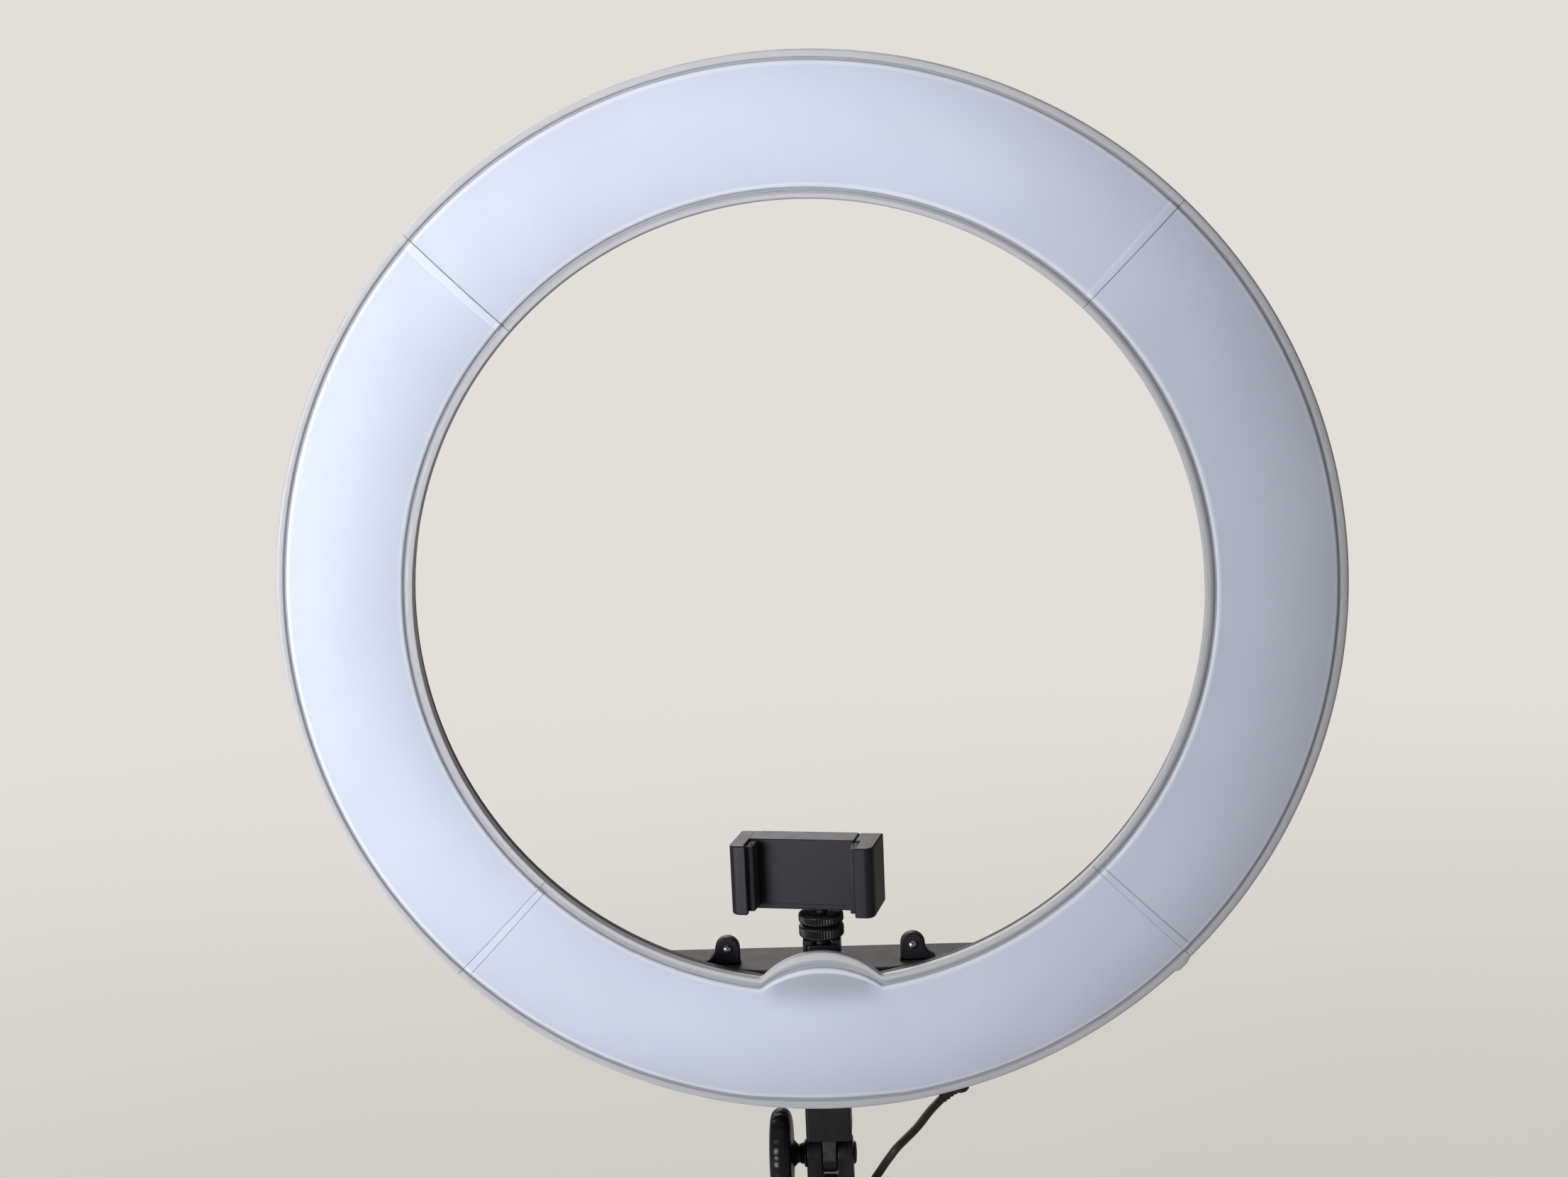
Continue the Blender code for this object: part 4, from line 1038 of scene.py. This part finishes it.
def clamp():
    """The sliding jaw on its two rods, the pads, the spring and the nut under the holder."""
    jaw = soft_prism(jaw_profile(29.5, JAW_FACE, HOLDER_END + 0.3), "Z", JAW_BASE, HOLDER_TOP, 0.9, 4)
    slope = soft_prism([(32.0, JAW_BASE + 3.0), (25.0, JAW_BASE - 3.0), (32.0, JAW_BASE - 3.0)], "Y",
                       -24.0, 12.0, 0.1, 1)
    bores = [shifted(rod(1.8, 10.0, 26.8, "X", 24), 0, ROD_Y, z) for z in ROD_Z.values()]
    piece("jaw_moving", carved(jaw, slope, *bores), "black_plastic", "sliding_jaw", "sliding_jaw", HOLDER)
    jaw_pad("pad_fixed", HOLDER_LEFT + 0.3, HOLDER_LEFT + 3.6, "phone_holder", "jaw_pad_left")
    jaw_pad("pad_moving", JAW_FACE - 0.3, JAW_FACE - 3.6, "sliding_jaw", "jaw_pad_right")
    for place, z in ROD_Z.items():
        bar = shifted(rod(1.5, -21.0, 26.5, "X", 24), 0, ROD_Y, z)
        piece(f"rod_{place}", bar, "steel", "sliding_jaw", f"guide_rod_{place}", HOLDER)
    clamp_spring()
    nut = carved(hexagon(NUT_RADIUS, 0.4, 6.6, "Z"), rod(STUD_HOLE, -2, 9))
    piece("holder_nut", nut, "brass", "phone_holder", "holder_insert", HOLDER)


def jaw_pad(name, outer, inner, body, node_name):
    """Soft strip with upright ribs on its inner side, which grips."""
    facing = math.copysign(1.0, inner - outer)
    front, rear, ribs = -16.9, -6.5, 7
    pitch = (rear - front) / ribs
    outline = [(outer, front), (outer, rear)]
    for rib in range(ribs):
        y = rear - pitch * rib
        outline += [(inner - facing * 0.7, y - 0.1 * pitch), (inner, y - 0.35 * pitch),
                    (inner, y - 0.65 * pitch), (inner - facing * 0.7, y - 0.9 * pitch)]
    strip = soft_prism(fillet(outline, 0.2, 2), "Z", 2.0, HOLDER_TOP - 1.0, 0.25, 2)
    piece(name, strip, "rubber", body, node_name, HOLDER)


def clamp_spring():
    """A coil of round wire between the two rods."""
    start, end, turns, coil = -20.0, HOLDER_END - 1.0, 26, 2.6
    steps = turns * 16
    path = []
    for index in range(steps + 1):
        angle = math.tau * turns * index / steps
        along = start + (end - start) * index / steps
        path.append(Vector((along, ROD_Y + coil * math.cos(angle), 19.7 + coil * math.sin(angle))))
    wire = swept(path, lambda t: 0.45, 8)
    piece("holder_spring", wire, "steel", "phone_holder", "clamp_spring", HOLDER)


# ---- tilt joint and stand adapter --------------------------------------

def bracket():
    """Block under the ring with a plate back to the box and a round-ended tongue."""
    lo, hi = corners("tilt_bracket")
    width = (-hi.x, hi.x)
    block_top, block_low = PIVOT.z + 28.5, PIVOT.z + 9.5
    front, rear = lo.y, lo.y + 21.0
    block = soft_prism(rounded(width, (front, rear), 1.6), "Z", block_low, block_top, 1.0)
    plate = soft_prism(rounded(width, (front + 4.6, hi.y), 1.6), "Z", block_top - 2.5, block_top + 2.1,
                       0.7)
    seat = soft_prism(rounded(width, (rear + 0.6, hi.y), 1.4), "Z", block_top, hi.z, 0.5)
    tongue = arc((0, 0), 9.0, 180, 360, 28) + [(9.0, 12.0), (-9.0, 12.0)]
    tongue = shifted(soft_prism(tongue, "X", -3.3, 3.3, 0.6), 0, PIVOT.y, PIVOT.z)
    bore = shifted(rod(STUD_HOLE, -20, 20, "X"), 0, PIVOT.y, PIVOT.z)
    holes = []
    for side in ("left", "right"):
        place = middle(f"bracket_screw_{side}")
        holes.append(shifted(rod(1.9, block_top - 10, hi.z + 5, "Z", 24), place.x, place.y))
    shape = carved(joined(block, plate, seat, tongue), bore, together(*holes))
    piece("bracket_block", shape, "black_metal", "head", "tilt_bracket")


def adapter_body():
    """Socket, clevis ears and the boss of the lock screw."""
    base = low("stand_adapter").z
    radius, floor_z, spigot_bore = 12.5, 7.0, 8.25
    ear_radius, ear_in, ear_out = 8.5, 3.6, 11.0
    lock_z = joint_place("lock_knob_turn").z
    outline = [(0, base), (radius - 0.4, base), (radius, base + 0.6), (radius, base + 6.0),
               (radius - 0.6, base + 6.8), (radius - 0.6, base + 7.8), (radius, base + 8.6),
               (radius, floor_z - 1.5), (radius - 1.5, floor_z), (0, floor_z)]
    socket = turned(fillet(outline, 0.5, 3), "Z", 96)
    ear = arc((0, PIVOT.z), ear_radius, 0, 180, 28) + [(-ear_radius, 3.0), (ear_radius, 3.0)]
    ears = [soft_prism(ear, "X", start, end, 0.8)
            for start, end in ((ear_in, ear_out), (-ear_out, -ear_in))]
    web_top = low("tilt_bracket").z - 1.2
    web = soft_prism(rectangle(about(0.0, 7.5), (3.0, web_top)), "X", -4.6, 4.6, 0.5)
    boss = turned(fillet([(0, 9.5), (6.9, 9.5), (6.5, 16.0), (0, 16.0)], 0.6), "X", 48)
    shape = joined(socket, *ears, web, shifted(boss, z=lock_z))
    bores = [rod(spigot_bore, base - 5, 0, "Z", 64), shifted(rod(STUD_HOLE, -20, 20, "X"), z=PIVOT.z),
             shifted(rod(STUD_HOLE, 4, 20, "X"), z=lock_z)]
    piece("socket_and_clevis", carved(shape, *bores), "black_metal", "stand_adapter", "stand_adapter")


def hand_knob(radius, facing):
    """Round hand knob: waisted collar, glossy cone and a rounded rim with shallow finger scallops."""
    outline = [(STUD_HOLE, 0.0), (5.0, 0.0), (5.2, 0.6), (4.4, 1.8), (4.5, 2.8), (6.8, 4.9),
               (radius * 0.45, 5.1), (radius - 5.0, 5.4), (radius - 2.2, 6.3), (radius - 0.6, 8.2),
               (radius, 10.5), (radius - 0.6, 12.8), (radius - 2.2, 14.8), (radius - 5.0, 15.7),
               (radius - 7.0, 15.1), (9.5, 14.7), (7.0, 15.3), (5.5, 16.0), (0, 16.0), (0, 14.2),
               (STUD_HOLE, 14.2)]

    def scallops(reach, along, angle):
        if reach > radius - 4.0:
            share = (reach - radius + 4.0) / 4.0
            return reach - 0.35 * share * (0.5 + 0.5 * math.cos(30 * angle)), along
        return reach, along

    outline = [(reach, facing * along) for reach, along in outline]
    return turned(fillet(outline, 1.0, 4), "X", 180, scallops)


def tilt_joint():
    """Cross bolt with a socket head, its washer, and the hand knob with the nut inside it."""
    top = high("tilt_bolt").x
    bolt = [(0, top), (4.4, top - 0.3), (5.4, top - 0.9), (5.4, top - 1.5), (3.0, top - 1.5), (3.0, -2.0),
            (0, -2.0)]
    bolt = carved(turned(fillet(bolt, 0.3, 4), "X", 48), hexagon(2.0, top - 2.6, top + 3.0))
    bolt = joined(bolt, threaded(3.0, 0.3, 1.0, -25.0, -1.0))
    piece("cross_bolt", bolt, "black_metal", "stand_adapter", "tilt_bolt", TILT)
    lo, hi = corners("tilt_washer")
    washer = tube(STUD_HOLE, 6.5, lo.x, hi.x, "X", 48)
    piece("washer", washer, "black_metal", "tilt_washer", "tilt_washer", TILT)
    at = TILT @ Matrix.Translation((high("tilt_knob").x * MM, 0, 0))
    knob = carved(hand_knob(22.0, -1), hexagon(6.0, -14.1, -7.0))
    piece("tilt_handwheel", knob, "knob", "tilt_knob", "tilt_knob", at, 50.0)
    start, end = low("tilt_knob_insert").x, high("tilt_knob_insert").x
    nut = carved(hexagon(NUT_RADIUS, start, end), rod(STUD_HOLE, start - 5, end + 5, "X"))
    piece("knob_nut", nut, "brass", "tilt_knob", "tilt_knob_insert", TILT)


def stand_lock():
    """The screw that holds the stand's spigot, and its hand knob."""
    at = LOCK @ Matrix.Translation((low("lock_knob").x * MM, 0, 0))
    piece("lock_handwheel", hand_knob(23.0, 1), "knob", "lock_knob", "lock_knob", at, 50.0)
    lo, hi = corners("lock_screw")
    thread = threaded(3.0, 0.3, 1.0, lo.x, hi.x)
    piece("lock_thread", thread, "steel", "lock_screw", "lock_screw", LOCK)


# ---- power lead --------------------------------------------------------

CABLE_RADIUS = 2.0


def plug():
    """Right-angled plug with a ribbed strain relief."""
    jack = middle("dc_jack") - RING_CENTRE
    body = [(0, -247.5), (3.4, -247.5), (4.6, -246.0), (4.6, -236.0), (4.2, -235.4), (4.2, -234.4),
            (4.6, -233.8), (4.6, -229.6), (4.2, -229.0), (2.5, -229.0), (2.5, -216.5), (0, -216.5)]
    core = shifted(turned(fillet(body, 0.5, 3), "Z", 48), jack.x, jack.y)
    path = smooth_path([(jack.x + 1.0, jack.y, -244.4), (jack.x - 4.0, jack.y - 0.4, -247.0),
                        (jack.x - 8.6, jack.y - 1.0, -250.7)], 14)

    def ribbed(t):
        return 3.1 - 0.7 * t + 0.22 * math.cos(t * 5 * math.tau)

    piece("plug_elbow", joined(core, swept(path, ribbed, 24)), "rubber", "head", "power_plug", RING)


def lead():
    """One smooth lead from the plug, across the tilt axis, down behind the socket to its end."""
    above, below = Vector((32.6, 16.4, -267.0)), Vector((28.9, 16.2, -271.6))
    route = [(55.6, 35.2, -249.6), (53.4, 34.6, -251.6), (48.2, 30.4, -255.4), (41.5, 24.5, -261.4),
             above, below, (24.2, 20.0, -279.8), (18.9, 25.5, -291.0), (17.2, 28.0, -304.0),
             (17.4, 27.5, -326.0), (20.5, 24.5, -346.0), (22.0, 22.0, -361.0)]
    path = [point + RING_CENTRE for point in smooth_path(route, 10)]
    cable = piece("power_lead", swept(path, lambda t: CABLE_RADIUS, 20), "cable", None,
                  ("cable_upper", "cable_lower"))
    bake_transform(cable)

    centre = middle("inline_socket")
    end = Vector((centre.x, centre.y, high("inline_socket").z + 0.4))
    body = [(0, -0.4), (2.6, -0.4), (3.0, -1.0), (2.7, -2.0), (3.2, -2.8), (2.9, -3.8), (3.5, -4.6),
            (3.2, -5.6), (4.3, -7.0), (5.0, -8.6), (5.0, -12.0), (4.7, -12.4), (4.7, -25.0), (5.0, -25.4),
            (5.0, -29.2), (4.2, -30.0), (2.6, -30.0), (2.6, -18.0), (0, -18.0)]
    piece("lead_socket", turned(fillet(body, 0.3, 3), "Z", 48), "rubber", "stand_adapter",
          "inline_socket", Matrix.Translation(end * MM))


# ---- pieces that keep their CAD shape ----------------------------------

def inner_works():
    """Finishes and fine bevels for the boards, the heat spreader and the control's inner parts."""
    kept = {"board_white": [f"led_board_{side}" for side in ("top", "right", "bottom", "left")],
            "board_green": ["driver_board"], "aluminium": ["heat_spreader", "potentiometer"],
            "steel": ["dimmer_shaft"], "black_plastic": ["dc_jack"]}
    for look, names in kept.items():
        for name in names:
            obj = frame["nodes"][name]
            obj.data.materials.clear()
            obj.data.materials.append(LOOKS[look])
            weld = obj.modifiers.new("weld", "WELD")
            weld.merge_threshold = 0.000005
            edge = obj.modifiers.new("edge", "BEVEL")
            edge.width = 0.0002
            edge.segments = 2
            edge.limit_method = "ANGLE"
            edge.angle_limit = math.radians(40)


# ---- stage -------------------------------------------------------------

BACKDROP = linear(226, 223, 217)
ROOM_LIGHT = 0.10            # share of the backdrop's brightness that lights the part


def floor():
    """A wide pale disc that fades into the background colour."""
    shape = bmesh.new()
    centre = shape.verts.new((0, 0, 0))
    angles = [math.tau * k / 64 for k in range(64)]
    rows = []
    for reach in (0.02, 0.5, 1.0, 2.0, 4.0, 8.0, 16.0):
        rows.append([shape.verts.new((reach * math.cos(a), reach * math.sin(a), 0)) for a in angles])
    for k in range(64):
        following = (k + 1) % 64
        shape.faces.new([centre, rows[0][k], rows[0][following]])
        for near, far in zip(rows, rows[1:]):
            shape.faces.new([near[k], far[k], far[following], near[following]])
    obj = in_scene("floor", as_mesh("floor", shape))
    obj.location = (0, 0, CAD_BOUNDS[0][2] - 0.004)
    made, tree, shader = new_material("pale_floor")
    put(tree, shader, {
        "Base Color": tinted(tree, BACKDROP, 0.97, 1.02, noise(tree, 3.0)),
        "Roughness": 0.8,
    })
    where = node(tree, "ShaderNodeTexCoord").outputs["Object"]
    reach = node(tree, "ShaderNodeVectorMath", {0: where}, operation="LENGTH").outputs["Value"]
    fade = ranged(tree, reach, 0.2, 1.8, 0.6, 1.0, interpolation_type="SMOOTHSTEP")
    seen = node(tree, "ShaderNodeLightPath").outputs["Is Camera Ray"]
    brightness_factor = ranged(tree, seen, 0.0, 1.0, 0.3, 1.0)
    sky = node(tree, "ShaderNodeEmission", {"Color": BACKDROP, "Strength": brightness_factor})
    put(tree, tree.nodes["Material Output"], {"Surface": mixed_shader(tree, fade, shader, sky)})
    obj.data.materials.append(made)


def area_light(name, place, aim, size, power, colour, spread=math.pi):
    """A rectangular light that faces a point; power is in watts and spread in radians."""
    data = bpy.data.lights.new(name, "AREA")
    data.shape = "RECTANGLE"
    data.size, data.size_y = size
    data.energy = power
    data.color = colour
    data.spread = spread
    obj = in_scene(name, data)
    obj.location = place
    obj.rotation_euler = (Vector(aim) - Vector(place)).to_track_quat("-Z", "Y").to_euler()


def lights():
    """A window's light from the left front, a weak fill, and soft light from behind and above."""
    centre = RING_CENTRE * MM
    aim = centre + Vector((-0.13, 0.0, 0.085))
    area_light("window", centre + Vector((-0.43, -0.36, 0.10)), aim, (0.52, 0.72), 1.32,
               (0.95, 0.975, 1.0), 0.83)
    area_light("fill", (1.3, -1.6, centre.z + 0.4), centre, (1.4, 1.4), 0.9, (1.0, 0.95, 0.92))
    area_light("rear", (-0.5, 1.5, centre.z + 0.9), centre, (1.4, 1.2), 20.0, (1.0, 0.98, 0.95))
    area_light("overhead", (0.2, 0.2, centre.z + 1.6), centre, (2.4, 2.4), 3.4, (1.0, 0.99, 0.97))


def surroundings():
    """The camera sees the plain backdrop; the part is lit by a weaker share of it."""
    world = bpy.data.worlds.new("pale_room")
    bpy.context.scene.world = world
    world.use_nodes = True
    tree = world.node_tree
    lit = tree.nodes["Background"]
    put(tree, lit, {"Color": BACKDROP, "Strength": ROOM_LIGHT})
    backdrop = node(tree, "ShaderNodeBackground", {"Color": BACKDROP, "Strength": 1.0})
    camera_ray = node(tree, "ShaderNodeLightPath").outputs["Is Camera Ray"]
    put(tree, tree.nodes["World Output"], {"Surface": mixed_shader(tree, camera_ray, lit, backdrop)})
    bpy.context.scene.view_settings.view_transform = "Standard"


def camera():
    """The photograph's angle: a little above the ring's axis and to its right, looking down."""
    data = bpy.data.cameras.new("camera")
    data.lens = 49.74
    data.sensor_width = 36.0
    data.shift_y = 0.05
    obj = in_scene("camera", data)
    obj.location = (RING_CENTRE + Vector((43.0, -958.3, 154.6))) * MM
    pitch, yaw, roll = math.radians(-10.82), math.radians(-3.24), math.radians(-2.49)
    turn = Matrix.Rotation(-yaw, 4, "Z") @ Matrix.Rotation(math.pi / 2 + pitch, 4, "X")
    turn = turn @ Matrix.Rotation(roll, 4, "Z")
    obj.rotation_euler = turn.to_euler()
    bpy.context.scene.camera = obj


ring_face()
ring_shell()
control_box()
dimmer_knob()
power_switch()
fasteners()
lugs()
shoe()
adapter()
holder()
clamp()
bracket()
adapter_body()
tilt_joint()
stand_lock()
plug()
lead()
inner_works()
floor()
lights()
surroundings()
camera()
